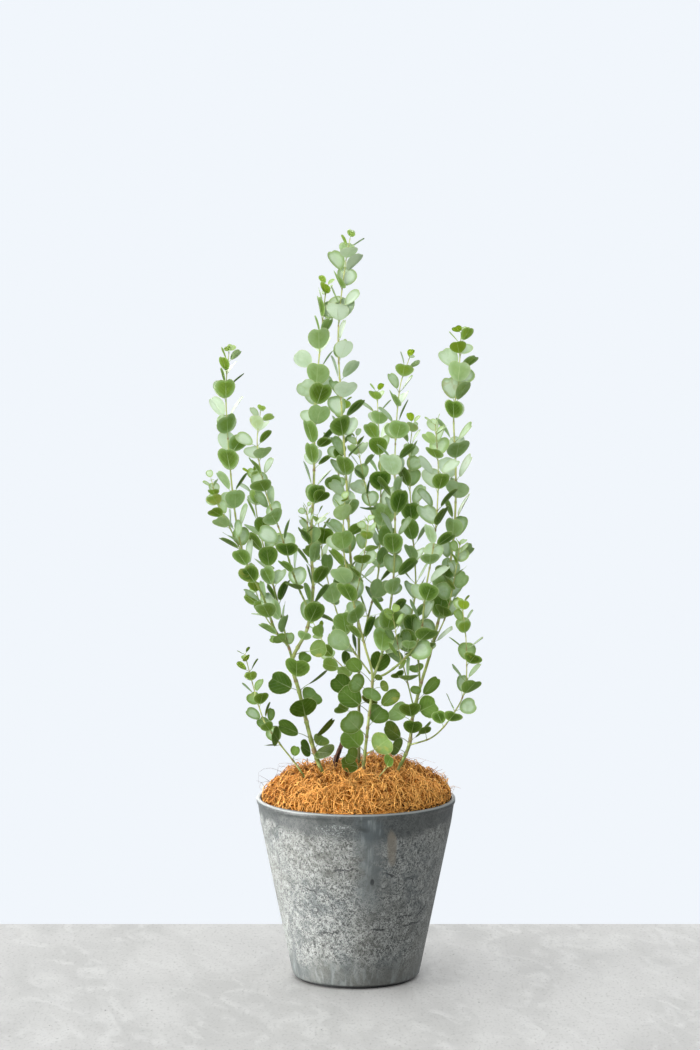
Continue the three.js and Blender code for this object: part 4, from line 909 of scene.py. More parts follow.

# %% [markdown]
# ## How the stems run
#
# A young mallee sends up several whippy stems from its base, and each forks a few times. Each
# stem is a list of places that it passes, with its thickness at foot and tip.
# The smooth curve through them is the usual spline whose slope at a point is half the step
# between its two neighbours. These are the same places as the solid's, in millimetres.

# %% Stem routes
# Each stem: the solid it belongs to, its thickness at foot and tip, the usual width of its
# leaves, the length at its foot that has no pairs, the turn in degrees of the pair nearest
# its tip, and the places that it passes
STEMS = {
    "left": ("stem_left", (6.4, 1.2), 29, 250, 6, [
        (-30, -19, 222), (-41, -20, 272), (-58, -22, 320), (-76, -25, 394), (-86, -26, 439),
        (-66, -24, 483), (-58, -20, 537), (-61, -15, 601), (-57, -8, 676), (-55, 2, 782),
        (-47, 6, 876), (-40, 11, 944)]),
    "left_outer": ("stem_left", (3.6, 1.1), 28, 36, 84, [
        (-86, -26, 439), (-92, -25, 460), (-109, -30, 482), (-125, -38, 528), (-149, -45, 580),
        (-161, -48, 635), (-170, -45, 722), (-174, -38, 804), (-170, -30, 857)]),
    "left_middle": ("stem_left", (3, 1.1), 28, 26, 20, [
        (-92, -25, 460), (-106, 0, 515), (-120, 25, 566), (-134, 45, 623), (-142, 60, 686)]),
    "left_fork": ("stem_left", (2, 1), 22, 16, 70, [
        (-149, -45, 580), (-166, -62, 619), (-184, -80, 660), (-192, -92, 692)]),
    "left_short": ("stem_left", (2, 1), 22, 14, 0, [
        (-109, -30, 482), (-122, -5, 496), (-133, 15, 520), (-148, 30, 562)]),
    "left_inner": ("stem_left", (2.8, 1.1), 27, 24, 95, [
        (-63, -22, 507), (-81, -45, 551), (-100, -70, 616), (-120, -85, 675), (-131, -88, 735),
        (-127, -80, 782)]),
    "left_bud": ("stem_left", (1.8, 1), 17, 14, 40, [
        (-61, -16, 589), (-65, -28, 617), (-66, -38, 649)]),
    "centre": ("stem_centre", (5, 1.1), 30, 222, 90, [
        (4, -38, 224), (8, -40, 279), (16, -44, 353), (22, -46, 419), (12, -52, 463),
        (-4, -62, 527), (-17, -72, 600), (-15, -76, 661)]),
    "centre_left": ("stem_centre", (2.6, 1), 27, 24, 10, [
        (19, -46, 425), (-9, -15, 461), (-29, 20, 509), (-44, 50, 565), (-53, 66, 628)]),
    "centre_right": ("stem_centre", (3.6, 1.1), 29, 24, 84, [
        (22, -46, 419), (35, -40, 451), (43, -30, 492), (51, -15, 556), (53, 0, 644),
        (53, 10, 724), (59, 15, 804), (72, 18, 846)]),
    "centre_rear": ("stem_centre", (3, 1.1), 29, 32, 0, [
        (9, -53, 472), (16, -20, 497), (30, 30, 549), (33, 55, 599), (34, 72, 663),
        (32, 82, 724), (29, 88, 795)]),
    "centre_rear_fork": ("stem_centre", (2, 1), 24, 24, 60, [
        (33, 55, 599), (20, 40, 639), (10, 30, 685), (0, 26, 737)]),
    "centre_front": ("stem_centre", (2, 1), 25, 20, 80, [
        (-3, -61, 523), (4, -80, 554), (13, -100, 606), (16, -108, 637)]),
    "centre_side": ("stem_centre", (3.2, 1.1), 29, 34, 12, [
        (22, -46, 419), (42, -52, 427), (72, -62, 455), (87, -68, 485), (93, -74, 542),
        (105, -84, 617), (109, -92, 697), (105, -96, 766)]),
    "tall": ("stem_tall", (5, 1.2), 29, 270, 88, [
        (4, 16, 224), (4, 15, 276), (4, 15, 384), (3, 14, 490), (-7, 10, 572), (-12, 6, 666),
        (-20, 2, 791), (-24, 0, 882), (-15, 0, 968), (-8, 0, 1008)]),
    "tall_twin": ("stem_tall", (2.2, 1.1), 24, 18, 30, [
        (-9, 7, 620), (-22, 25, 655), (-24, 36, 699), (-23, 42, 751), (-16, 42, 785)]),
    "tall_low": ("stem_tall", (2, 1), 22, 30, 75, [
        (4, 15, 373), (-14, 35, 416), (-36, 55, 438), (-58, 75, 476)]),
    "right": ("stem_right", (5.4, 1.2), 31, 226, 80, [
        (36, -20, 226), (53, -20, 278), (72, -20, 323), (76, -18, 357), (88, -14, 406),
        (102, -10, 453), (123, 0, 542), (133, 5, 614), (135, 8, 690), (132, 10, 770),
        (138, 12, 814), (142, 14, 880)]),
    "right_rear": ("stem_right", (3, 1.1), 29, 30, 0, [
        (87, -14, 403), (84, 10, 441), (75, 35, 480), (82, 60, 532), (77, 80, 618),
        (73, 92, 694), (78, 98, 750)]),
    "right_fork": ("stem_right", (2.2, 1), 26, 22, 50, [
        (104, -9, 459), (123, -30, 507), (134, -48, 566), (139, -55, 600)]),
    "right_low": ("stem_right", (2.2, 1), 26, 26, 65, [
        (79, -17, 371), (66, -40, 426), (57, -56, 461), (49, -80, 510)]),
    "side_right": ("stem_right", (2.4, 1.1), 25, 74, 10, [
        (72, -20, 323), (104, -45, 339), (128, -62, 369), (146, -75, 409), (147, -82, 472),
        (141, -86, 526)]),
    "small_left": ("stem_small_left", (2.8, 1), 20, 92, 15, [
        (-52, -25, 246), (-74, -30, 288), (-103, -38, 328), (-123, -42, 358),
        (-135, -40, 394), (-150, -34, 450)]),
    "sprig": ("stem_sprig", (2.2, 1.2), 14, 90, 0, [
        (20, -54, 244), (30, -60, 284), (48, -72, 308)]),
}
STEM_NAMES = list(STEMS)
ROUTE_STEPS = 2
TAPER_POWER = 0.8


def spline(places, where):
    """The route at any number of spans from its foot: 0 is the first place, 1 the second."""
    places = np.asarray(places, float)
    padded = np.concatenate([[2 * places[0] - places[1]], places, [2 * places[-1] - places[-2]]])
    where = np.asarray(where, float)
    span = np.minimum(where.astype(int), len(places) - 2)
    w = (where - span)[..., None]
    before, start, end, after = (padded[span + k] for k in range(4))
    leave, arrive = (end - before) / 2, (after - start) / 2
    rest = (3 * (end - start) - 2 * leave - arrive) * w ** 2
    return start + leave * w + rest + (2 * (start - end) + leave + arrive) * w ** 3


def trace(places):
    """A route as straight steps: their ends, and the length up to each."""
    ends = spline(places, np.arange((len(places) - 1) * ROUTE_STEPS + 1) / ROUTE_STEPS)
    lengths = np.concatenate([[0], np.cumsum(np.linalg.norm(np.diff(ends, axis=0), axis=1))])
    return ends, lengths


TRACES = {name: trace(stem[5]) for name, stem in STEMS.items()}


def thickness_at(wide, share):
    """Thickness at a share of the length: tip + (foot - tip)(1 - share)^0.8."""
    return wide[1] + (wide[0] - wide[1]) * (1 - share) ** TAPER_POWER


def spans_at(name, length):
    """How many spans of a route a length reaches."""
    lengths = TRACES[name][1]
    return np.interp(length, lengths, np.arange(len(lengths)) / ROUTE_STEPS)


total_length = sum(lengths[-1] for _, lengths in TRACES.values())
print("stems:", len(STEMS), "with", round(total_length / 1000, 1), "m in all")

# %% [markdown]
# ## Where the leaves grow
#
# The young leaves of this tree sit in pairs, and each pair is turned a quarter turn from the
# last. They are smaller and closer towards a tip. So one rule places them all, from each tip
# down, with small seeded differences. A leaf that would cut through its neighbours is bent
# clear, as real ones push each other aside. The large low leaves are placed one by one.

# %% Large leaves
# Each row: its stem, the height at which it leaves it, the middle of its blade, its width and
# length, the way its face looks, and the tone of the side that the viewer sees: waxy bloom,
# olive, and yellow spots, 0 to 1. A low bloom is also painted shade, for a leaf in shade.
LARGE_LEAVES = [
    ("left", 356, (-71, -40, 378), (38, 34), (0, -1, 0.45), (0.1, 0.1, 0)),
    ("left", 410, (-80, -37, 432), (35, 31), (0.3, 0.8, 0.5), (0.15, 0.1, 0)),
    ("left", 397, (-102, -24, 409), (31, 33), (-0.3, -1, 0.2), (0.12, 0, 0)),
    ("left", 378, (-60, -6, 387), (31, 30), (0.2, -1, 0.5), (0.52, 0, 0.2)),
    ("left", 397, (-51, -28, 418), (24, 33), (0.75, -0.25, -0.45), (0.39, 0, 0)),
    ("left", 333, (-92, -34, 348), (26, 33), (-0.3, -0.7, 0.8), (0.2, 0.1, 0)),
    ("left", 328, (-41, -22, 348), (18, 35), (0.5, -0.5, -0.6), (0.2, 0.3, 0)),
    ("left", 314, (-43, -32, 315), (32, 28), (0, -0.6, 0.8), (0.05, 0.6, 0)),
    ("left", 317, (-48, -4, 327), (23, 22), (0, -1, 0.3), (0.42, 0.5, 0.3)),
    ("left", 306, (-68, -42, 322), (24, 27), (-0.2, -0.8, 0.6), (0.12, 0.1, 0)),
    ("left", 447, (-51, -40, 458), (24, 26), (0.3, -0.9, 0.3), (0.5, 0.4, 1)),
    ("small_left", 325, (-108, -58, 342), (28, 27), (-0.1, -0.8, 0.6), (0.12, 0.1, 0)),
    ("small_left", 304, (-82, -42, 319), (13, 18), (0, -1, 0.3), (0.39, 0, 0)),
    ("centre", 338, (-5, -64, 361), (35, 37), (-0.1, -1, 0.25), (0.55, 0, 0)),
    ("centre", 371, (-8, -46, 393), (31, 34), (-0.1, -1, 0.1), (0.2, 0, 0)),
    ("tall", 379, (-20, 6, 403), (28, 31), (-0.3, -1, 0.3), (0.2, 0, 0)),
    ("centre", 317, (-5, -50, 337), (33, 33), (-0.4, -0.7, 0.5), (0.35, 0, 0)),
    ("centre", 303, (-6, -66, 317), (24, 27), (-0.2, -0.9, 0.3), (0.39, 0.1, 0.2)),
    ("centre", 310, (35, -66, 333), (34, 35), (0.2, -1, 0.3), (0.49, 0.1, 1)),
    ("centre", 350, (30, -26, 366), (31, 30), (0.1, -1, 0.3), (0.45, 0, 0)),
    ("centre", 367, (46, -46, 392), (21, 30), (0.5, -0.9, 0.1), (0.45, 0.1, 0.9)),
    ("centre", 412, (21, -65, 400), (27, 26), (0.35, -0.5, 0.8), (0.52, 0, 0)),
    ("centre", 397, (1, -66, 415), (27, 27), (-0.2, -1, 0.4), (0.55, 0, 0)),
    ("centre", 411, (-2, -56, 438), (22, 24), (-0.4, -0.9, 0.2), (0.35, 0, 0)),
    ("centre", 296, (-9, -50, 301), (24, 26), (-0.1, -0.8, 0.6), (0.05, 0.8, 0)),
    ("centre_left", 451, (-23, -24, 467), (27, 33), (0, -1, 0.3), (0.75, 0, 0)),
    ("right", 325, (49, -38, 345), (27, 34), (-0.3, -0.7, 0.6), (0.2, 0.7, 0.3)),
    ("right", 311, (54, -46, 325), (26, 27), (-0.1, -1, 0.3), (0.25, 0.2, 0)),
    ("right", 356, (73, -32, 374), (30, 28), (0, 0.84, 0.54), (0.1, 0.4, 0)),
    ("right", 365, (98, -30, 377), (33, 30), (0.3, -1, 0.3), (0.3, 0, 0)),
    ("right", 355, (57, 4, 364), (31, 31), (-0.1, -1, 0.4), (0.52, 0, 0)),
    ("right", 331, (77, -31, 350), (26, 24), (0, 0.84, 0.5), (0.12, 0, 0)),
    ("right", 380, (102, -18, 404), (18, 31), (0.5, -0.9, 0.1), (0.4, 0.1, 0)),
    ("right", 326, (92, -14, 344), (12, 33), (0.5, -0.5, -0.7), (0.4, 0, 0)),
    ("right", 382, (81, -36, 401), (15, 20), (-0.1, -1, 0.2), (0.49, 0, 0)),
    ("sprig", 297, (44, -80, 312), (17, 22), (-0.2, -0.9, 0.4), (0.15, 0.1, 0)),
    ("side_right", 358, (129, -72, 371), (26, 24), (0.1, 0.75, 0.6), (0.12, 0, 0)),
    ("side_right", 354, (112, -58, 368), (20, 20), (0, 0.81, 0.59), (0.1, 0, 0)),
    ("side_right", 334, (93, -58, 350), (18, 19), (0, -1, 0.4), (0.15, 0.2, 0)),
    ("left_outer", 456, (-103, -40, 472), (19, 17), (-0.3, -1, 0.3), (0.45, 0.1, 0)),
    ("left_outer", 452, (-90, -16, 469), (14, 18), (0, -1, 0.3), (0.8, 0, 0.4)),
    ("left_outer", 462, (-111, -20, 468), (10, 13), (-0.4, -1, 0.2), (0.5, 0.2, 0)),
    ("left", 458, (-70, -42, 476), (19, 18), (0.2, 0.8, 0.5), (0.5, 0, 0)),
    ("left", 425, (-70, -8, 441), (18, 19), (0, -1, 0.3), (0.39, 0, 0)),
    ("left", 828, (-71, -2, 846), (23, 27), (-0.3, -1, 0.2), (0.95, 0, 0)),
    ("left", 790, (-67, -4, 807), (27, 25), (-0.3, -1, 0.2), (0.9, 0, 0)),
    ("left", 722, (-43, -14, 735), (20, 22), (-0.3, 0.8, 0.5), (0.05, 0.3, 0)),
    ("left", 698, (-42, -12, 711), (14, 22), (-0.7, 0.6, 0.3), (0.1, 0.2, 0)),
    ("left", 648, (-47, -19, 663), (23, 22), (-0.2, 0.8, 0.5), (0.02, 0.2, 0)),
    ("centre", 405, (32, -22, 438), (27, 32), (0, -1, 0.2), (0.1, 0.2, 0)),
    ("centre", 410, (30, -60, 422), (11, 13), (0.2, -1, 0.2), (0.3, 0.6, 0)),
    ("centre", 402, (38, -64, 411), (16, 16), (0.2, -1, 0.2), (0.4, 0.8, 0)),
    ("small_left", 350, (-115, -30, 367), (12, 20), (0.5, -0.9, 0.2), (0.52, 0, 0)),
    ("centre_side", 443, (50, -63, 461), (18, 24), (-0.9, -0.4, 0.1), (0.3, 0.1, 0)),
    ("centre_side", 452, (71, -76, 469), (20, 19), (0, 0.7, 0.7), (0.45, 0, 0)),
    ("tall", 372, (18, -2, 382), (24, 20), (0.2, 0.7, 0.6), (0, 0.6, 0)),
    ("tall", 358, (-19, -4, 371), (22, 22), (-0.3, 0.8, 0.5), (0.3, 0.1, 0)),
    ("right", 446, (98, -32, 462), (19, 17), (0, 0.7, 0.6), (0.35, 0.3, 0)),
    ("right", 406, (82, 10, 424), (21, 17), (0, -1, 0.3), (0.42, 0, 0)),
    ("centre_side", 434, (62, -68, 440), (17, 13), (0.1, -0.7, 0.6), (0.3, 0.6, 0)),
    ("right_low", 408, (56, -56, 425), (19, 17), (-0.2, 0.7, 0.6), (0.05, 0.2, 0)),
    ("right_rear", 436, (75, -4, 446), (16, 13), (0, 0.7, 0.6), (0, 0.2, 0)),
]
print("large leaves:", len(LARGE_LEAVES))

# %% Leaf rule
# Lengths are in mm and angles in degrees. A spread is a whole range, half of it on each side.
# The bends, and the shares of lean and roll that are kept, are tried until a leaf is clear.
QUARTER_TURN = 90
PAIR_SPACING = 26
USUAL_WIDTH = 27
SPACING_POWER = 0.5
YOUNG_SPACING = 0.5
SPACING_GROWTH = 60
YOUNG_SIZE = 0.38
SIZE_GROWTH = 32
LENGTH_TO_WIDTH = 1.04
STALK_TO_WIDTH = 0.24
SHORTEST_STALK = 2
YOUNG_LEAN, GROWN_LEAN = 44, 29
LEAN_SPREAD, TURN_SPREAD, ROLL_SPREAD, SIZE_SPREAD = 38, 56, 80, 0.26
BENDS = (0, 18, -18, 36, -36, 54, -54)
LEAN_KEPT = (1, 0.68, 1.4)
ROLL_KEPT = (1, 0.3, -0.7)
REACH_MARGIN = 1.2
SIDE_GAP = 2.6
NEARLY_LEVEL = 0.12
SLANTED = 0.5
STEM_GAP = 1
STALK_RADIUS = 0.6
NEARLY_NOTHING = 1e-9


def spread(amount, *counts):
    """A seeded difference of up to half the amount, more or less."""
    return amount * (draw(*counts) - 0.5)


def place_at(name, length):
    """The point of a route at a length, and the direction of its straight step there."""
    ends, lengths = TRACES[name]
    i = 1
    while i < len(ends) - 1 and lengths[i] < length:
        i += 1
    share = (length - lengths[i - 1]) / (lengths[i] - lengths[i - 1])
    return ends[i - 1] + (ends[i] - ends[i - 1]) * share, unit(ends[i] - ends[i - 1])


def leaf_on(name, at, root, along, facing, width, length, stalk):
    """A leaf as a record: its face looks the way of facing, made square to its midrib."""
    normal = unit(facing - dot(facing, along) * along)
    middle = root + along * (stalk + length / 2)
    reach = max(width, length) / 2 + REACH_MARGIN
    return dict(stem=name, at=at, root=root, along=along, normal=normal, middle=middle,
                reach=reach, width=width, length=length, stalk=stalk, foot=root + along * stalk)


def large_leaf(name, height, centre, size, facing):
    """A leaf placed one by one: from its stem at that height to the middle of its blade."""
    ends, lengths = TRACES[name]
    up_to = int(np.argmax(ends[:, 2] >= height))
    share = (height - ends[up_to - 1, 2]) / (ends[up_to, 2] - ends[up_to - 1, 2])
    root = ends[up_to - 1] + (ends[up_to] - ends[up_to - 1]) * share
    at = lengths[up_to - 1] + (lengths[up_to] - lengths[up_to - 1]) * share
    along = np.array(centre) - root
    stalk = max(np.linalg.norm(along) - size[1] / 2, 1)
    return leaf_on(name, at, root, unit(along), np.array(facing, float), size[0], size[1], stalk)


def paired_leaf(name, at, turn, lean, roll, width, side):
    """Leans out of the stem towards turn or its opposite, its face rolled about its midrib."""
    point, tangent = place_at(name, at)
    right = unit(np.array([1.0, 0, 0]) - tangent[0] * tangent)
    back = np.cross(tangent, right)
    angle = math.radians(turn + side * 180)
    out = right * math.cos(angle) + back * math.sin(angle)
    tilt = math.radians(lean)
    along = tangent * math.cos(tilt) + out * math.sin(tilt)
    upright = unit(tangent - dot(tangent, along) * along)
    facing = upright * math.cos(math.radians(roll)) + np.cross(along, upright) * math.sin(math.radians(roll))
    stalk = width * STALK_TO_WIDTH + SHORTEST_STALK
    return leaf_on(name, at, point, along, facing, width, width * LENGTH_TO_WIDTH, stalk)


# %% Which leaves would touch
def blades_cross(leaf, others):
    """Two round blades cross where the chords that they cut from their common line overlap."""
    apart = others["middle"] - leaf["middle"]
    line = np.cross(leaf["normal"], others["normal"])
    slant = np.linalg.norm(line, axis=-1)
    over_leaf = np.abs(dot(apart, leaf["normal"]))
    over_other = np.abs(dot(apart, others["normal"]))
    near = np.linalg.norm(apart, axis=-1) <= leaf["reach"] + others["reach"]
    side_by_side = (np.minimum(over_leaf, over_other) < SIDE_GAP) & (slant < SLANTED)
    safe = np.maximum(slant, NEARLY_LEVEL)
    down_leaf, down_other = over_other / safe, over_leaf / safe
    half_leaf = np.sqrt(np.maximum(leaf["reach"] ** 2 - down_leaf ** 2, 0))
    half_other = np.sqrt(np.maximum(others["reach"] ** 2 - down_other ** 2, 0))
    met = (half_leaf > 0) & (half_other > 0) & (slant >= NEARLY_LEVEL)
    overlap = np.abs(dot(apart, line)) / safe < half_leaf + half_other
    return near & (side_by_side | (met & overlap))


def stretch_crosses(leaf, start, end, radius):
    """A straight stretch of stem or stalk comes through a blade's plane within its reach."""
    before = dot(start - leaf["middle"], leaf["normal"])
    after = dot(end - leaf["middle"], leaf["normal"])
    same_side = before * after > 0
    near = np.minimum(np.abs(before), np.abs(after)) < radius + STEM_GAP
    nearer_end = (np.abs(after) < np.abs(before)).astype(float)
    crossing = np.abs(before) / (np.abs(before) + np.abs(after) + NEARLY_NOTHING)
    share = np.where(same_side, nearer_end, crossing)[..., None]
    gap = np.linalg.norm(start + (end - start) * share - leaf["middle"], axis=-1)
    return (~same_side | near) & (gap < leaf["reach"] + radius)


def stem_stretches():
    """All straight steps of all stems, with the stem that each is of."""
    starts, ends, radii, owners = [], [], [], []
    for number, name in enumerate(STEM_NAMES):
        points, lengths = TRACES[name]
        starts.append(points[:-1])
        ends.append(points[1:])
        radii.append(thickness_at(STEMS[name][1], lengths[1:] / lengths[-1]) / 2)
        owners.append(np.full(len(points) - 1, number))
    return [np.concatenate(rows) for rows in (starts, ends, radii, owners)]


STRETCHES = stem_stretches()
FIELDS = ("middle", "normal", "root", "foot", "reach")


def is_clear(leaf, others):
    """The leaf touches no other stem, no other blade and no other stalk."""
    starts, ends, radii, owners = STRETCHES
    foreign = owners != STEM_NAMES.index(leaf["stem"])
    if stretch_crosses(leaf, starts[foreign], ends[foreign], radii[foreign]).any():
        return False
    if blades_cross(leaf, others).any():
        return False
    if stretch_crosses(leaf, others["root"], others["foot"], STALK_RADIUS).any():
        return False
    return not stretch_crosses(others, leaf["root"], leaf["foot"], STALK_RADIUS).any()


# %% Place all leaves
def pairs_of(name, number, placed):
    """One stem's pairs from its tip down. A leaf that no bend clears is left out."""
    _, _, leaf_width, bare, turn, _ = STEMS[name]
    total = TRACES[name][1][-1]
    from_tip, pair = 1.0, 0
    while from_tip < total - bare:
        size = YOUNG_SIZE + (1 - YOUNG_SIZE) * (1 - math.exp(-from_tip / SIZE_GROWTH))
        grown = 1 - math.exp(-from_tip / SPACING_GROWTH)
        pair_turn = turn + QUARTER_TURN * pair + spread(TURN_SPREAD, number, pair, 1)
        for side in (0, 1):
            width = leaf_width * size * (1 + spread(SIZE_SPREAD, number, pair, 2 + side))
            lean = YOUNG_LEAN + (GROWN_LEAN - YOUNG_LEAN) * grown
            lean += spread(LEAN_SPREAD, number, pair, 4 + side)
            roll = spread(ROLL_SPREAD, number, pair, 6 + side)
            others = {key: np.array([leaf[key] for leaf in placed]) for key in FIELDS}
            tries = (
                paired_leaf(name, total - from_tip, pair_turn + bend, lean * kept, roll * part, width, side)
                for kept in LEAN_KEPT for part in ROLL_KEPT for bend in BENDS
            )
            found = next((leaf for leaf in tries if is_clear(leaf, others)), None)
            if found:
                placed.append(dict(found, from_tip=from_tip))
        growth = YOUNG_SPACING + (1 - YOUNG_SPACING) * grown
        from_tip += PAIR_SPACING * (leaf_width / USUAL_WIDTH) ** SPACING_POWER * growth
        pair += 1


# A listed large leaf counts as this far from a tip, in mm, which makes it a grown one
LARGE_FROM_TIP = 400.0
leaves = [dict(large_leaf(*row[:5]), from_tip=LARGE_FROM_TIP) for row in LARGE_LEAVES]
for number, name in enumerate(STEM_NAMES):
    pairs_of(name, number, leaves)
print("leaves:", len(leaves))

# %% [markdown]
# ## The stems
#
# They are round and slender, yellow-green when young and olive below, with a small swelling
# at each node and a reddish stretch just above it. A rod along the smooth curve does it: its
# radius follows the taper, and a short bump is added at every node.

# %% Stem shapes
RING_SPACING = 3.0
STEM_SIDES = 8
NODE_SWELLING = 0.32
NODE_LENGTH = 1.7
RED_LENGTH = 6.0
FEWEST_RINGS = 6
STEM_PALE = (0.50, 0.52, 0.170, 1)
STEM_GREEN = (0.150, 0.210, 0.035, 1)
STEM_MOTTLE = (0.34, 0.40, 0.130, 1)
STEM_RED = (0.16, 0.06, 0.03, 1)
STEM_BARK = (0.07, 0.05, 0.03, 1)
STEM_LINES = (0.20, 0.17, 0.08, 1)


def stem_rod(name, nodes):
    """Path in mm, radii and tone of one stem: swelling exp(-(d/1.7)^2), redness exp(-d/6)."""
    _, wide, _, _, _, places = STEMS[name]
    total = TRACES[name][1][-1]
    length = np.linspace(0, total, max(FEWEST_RINGS, int(total / RING_SPACING)))
    path = spline(places, spans_at(name, length))
    share = length / total
    radius = thickness_at(wide, share) / 2
    above = length[:, None] - np.asarray(nodes)[None]
    swelling = np.exp(-(above / NODE_LENGTH) ** 2).max(1)
    redness = np.where(above > 0, np.exp(-above / RED_LENGTH), 0).max(1)
    tone = np.stack([redness, 1 - share, swelling, 0 * share], -1)
    return path, radius * (1 + NODE_SWELLING * swelling), tone


def stem_skin():
    """Pale near the tip and greener below, mottled, red above the nodes, with bark where old."""
    made, tree, shader, place = new_material("stem_skin", Roughness=0.5)
    redness, age, _, old = read_attribute(tree, "growth")
    mottle = cloud(tree, place, 90, 4)
    fine = cloud(tree, place, 420, 3, stretch=(1, 1, 0.25))
    colour = blend(tree, step(tree, age, 0.15, 0.95), STEM_PALE, STEM_GREEN)
    colour = blend(tree, step(tree, mottle, 0.42, 0.66), colour, STEM_MOTTLE)
    red = times(tree, step(tree, redness, 0.15, 0.8), step(tree, mottle, 0.38, 0.6))
    colour = paint(tree, colour, red, 0.75, STEM_RED)
    colour = paint(tree, colour, old, 0.8, STEM_BARK)
    colour = blend(tree, step(tree, fine, 0.62, 0.75), colour, STEM_LINES)
    tree.links.new(colour, shader.inputs["Base Color"])
    add_bump(tree, shader, fine, 0.0002)
    return made


skin = stem_skin()
along_x = np.array([1.0, 0.0, 0.0])
# How much bark shows at the foot of a stem that has any, and how it fades out upwards
OLD_WOOD = {"tall": 0.55}
OLD_FROM = 0.55
OLD_RISE = 3


def join_rods(parts):
    """Several rods of different lengths as one list of points, with one list of faces each."""
    points, faces, tones, base = [], [[], []], [], 0
    for path, radius, tone in parts:
        rod, rod_faces = rods(path[None], radius[None], STEM_SIDES, along_x)
        points.append(rod.reshape(-1, 3))
        tones.append(np.repeat(tone, STEM_SIDES, axis=0))
        for kind in (0, 1):
            faces[kind].append(rod_faces[kind] + base)
        base += len(points[-1])
    return np.concatenate(points), [np.concatenate(rows) for rows in faces], np.concatenate(tones)


def add_stems(node):
    """All stems of one solid, as one piece. Bark shows on the lower part of an old one."""
    parts = []
    for name in STEM_NAMES:
        if STEMS[name][0] != node:
            continue
        nodes = [leaf["at"] for leaf in leaves if leaf["stem"] == name] or [0.0]
        path, radius, tone = stem_rod(name, nodes)
        tone[:, 3] = OLD_WOOD.get(name, 0) * np.clip((tone[:, 1] - OLD_FROM) * OLD_RISE, 0, 1)
        parts.append((path, radius, tone))
    points, faces, tones = join_rods(parts)
    piece = new_piece(node.replace("stem_", "twigs_"), points * MM, faces, skin, [node])
    add_attribute(piece, "growth", tones)


STEM_NODES = list(dict.fromkeys(stem[0] for stem in STEMS.values()))
for node in STEM_NODES:
    add_stems(node)

# %% [markdown]
# ## The leaves
#
# A blade is round, a little wider beyond its middle, with a small notch at its tip. It folds up
# slightly along its midrib, curls down at its end, and is thin at its rim. So its surface is a
# function of two numbers: how far from the blade's middle, and the angle round it. The same
# grid of a few dozen faces serves every leaf, stretched and bent by each leaf's own numbers.

# %% Blade shape
BLADE_SECTORS = 20
BLADE_RINGS = np.array([0.55, 1.0])
BLADE_THICKNESS = 0.55
BLADE_WAIST = 0.17
BLADE_FOLD = 0.12
BLADE_CURL = 0.03
CREASE = 0.07
NOTCH_WIDTH = 0.22
TIP_CROWDING = 1.3
leaf_rng = np.random.default_rng(7)


def gather(key):
    """One number or vector of every leaf, as an array."""
    return np.array([leaf[key] for leaf in leaves], float)


LEAF_COUNT = len(leaves)
leaf_owner = np.array([STEMS[leaf["stem"]][0] for leaf in leaves])
blade = {key: gather(key) for key in ("foot", "along", "normal", "width", "length", "stalk")}
blade["across"] = np.cross(blade["along"], blade["normal"])
blade["fold"] = BLADE_FOLD * leaf_rng.uniform(0.6, 1.5, LEAF_COUNT)
blade["curl"] = BLADE_CURL * leaf_rng.uniform(0.5, 1.5, LEAF_COUNT)
blade["notch"] = leaf_rng.uniform(0.03, 0.13, LEAF_COUNT)
blade["wave"] = leaf_rng.uniform(0.1, 0.45, LEAF_COUNT) * blade["width"] / USUAL_WIDTH
blade["phase"] = leaf_rng.uniform(0, 2 * np.pi, LEAF_COUNT)
blade["lopsided"] = leaf_rng.normal(0, 0.035, LEAF_COUNT)


def blade_heights(forward, sideways):
    """Fold and curl: both halves rise from the midrib, and the end curls down."""
    fold, curl = blade["fold"][:, None], blade["curl"][:, None]
    length, width = blade["length"][:, None], blade["width"][:, None]
    crease = CREASE * width
    rise = fold * (np.sqrt(sideways ** 2 + crease ** 2) - crease)
    return rise - curl * forward ** 2 / length


def blade_point(forward, sideways, lift):
    """foot + along * forward + across * sideways + normal * lift, for all leaves at once."""
    return (blade["foot"][:, None] + blade["along"][:, None] * forward[..., None]
            + blade["across"][:, None] * sideways[..., None]
            + blade["normal"][:, None] * lift[..., None])


def blade_grid(ring):
    """One ring of each blade: forward and sideways places in mm at a share of its outline.

    With the angle p from foot to tip, forward = length ((1 - cos p) / 2 - notch) and
    sideways = width / 2 sin p (1 - 0.17 cos p). The notch fades away from the tip, and the
    angles are closer there: p = 180 (1 - (1 - t)^1.3) for even steps of t.
    """
    turn = 2 * np.arange(BLADE_SECTORS) / BLADE_SECTORS
    p = np.pi * (1 - (1 - np.minimum(turn, 2 - turn)) ** TIP_CROWDING)
    hand = np.where(turn <= 1, 1.0, -1.0)
    length, width = blade["length"][:, None], blade["width"][:, None]
    dent = blade["notch"][:, None] * np.exp(-((np.pi - p) / NOTCH_WIDTH) ** 2)
    forward = length * ((1 - np.cos(p)) / 2 - dent)
    sideways = hand * width / 2 * np.sin(p) * (1 - BLADE_WAIST * np.cos(p))
    sideways = sideways * (1 + blade["lopsided"][:, None] * hand)
    middle = length / 2
    return middle + (forward - middle) * ring, sideways * ring


def blade_layer(ring, side):
    """Points of one ring on the upper (side 1) or lower (side -1) face, and its attribute."""
    forward, sideways = blade_grid(ring)
    turn = 2 * np.pi * np.arange(BLADE_SECTORS) / BLADE_SECTORS
    ripple = blade["wave"][:, None] * np.sin(3 * turn + blade["phase"][:, None]) * ring ** 3
    lens = side * BLADE_THICKNESS / 2 * math.sqrt(max(1 - ring ** 2, 0))
    points = blade_point(forward, sideways, blade_heights(forward, sideways) + ripple + lens)
    where = np.stack([sideways / blade["width"][:, None] + 0.5, forward / blade["length"][:, None],
                      np.full_like(forward, ring), np.full_like(forward, (1 - side) / 2)], -1)
    return points, where


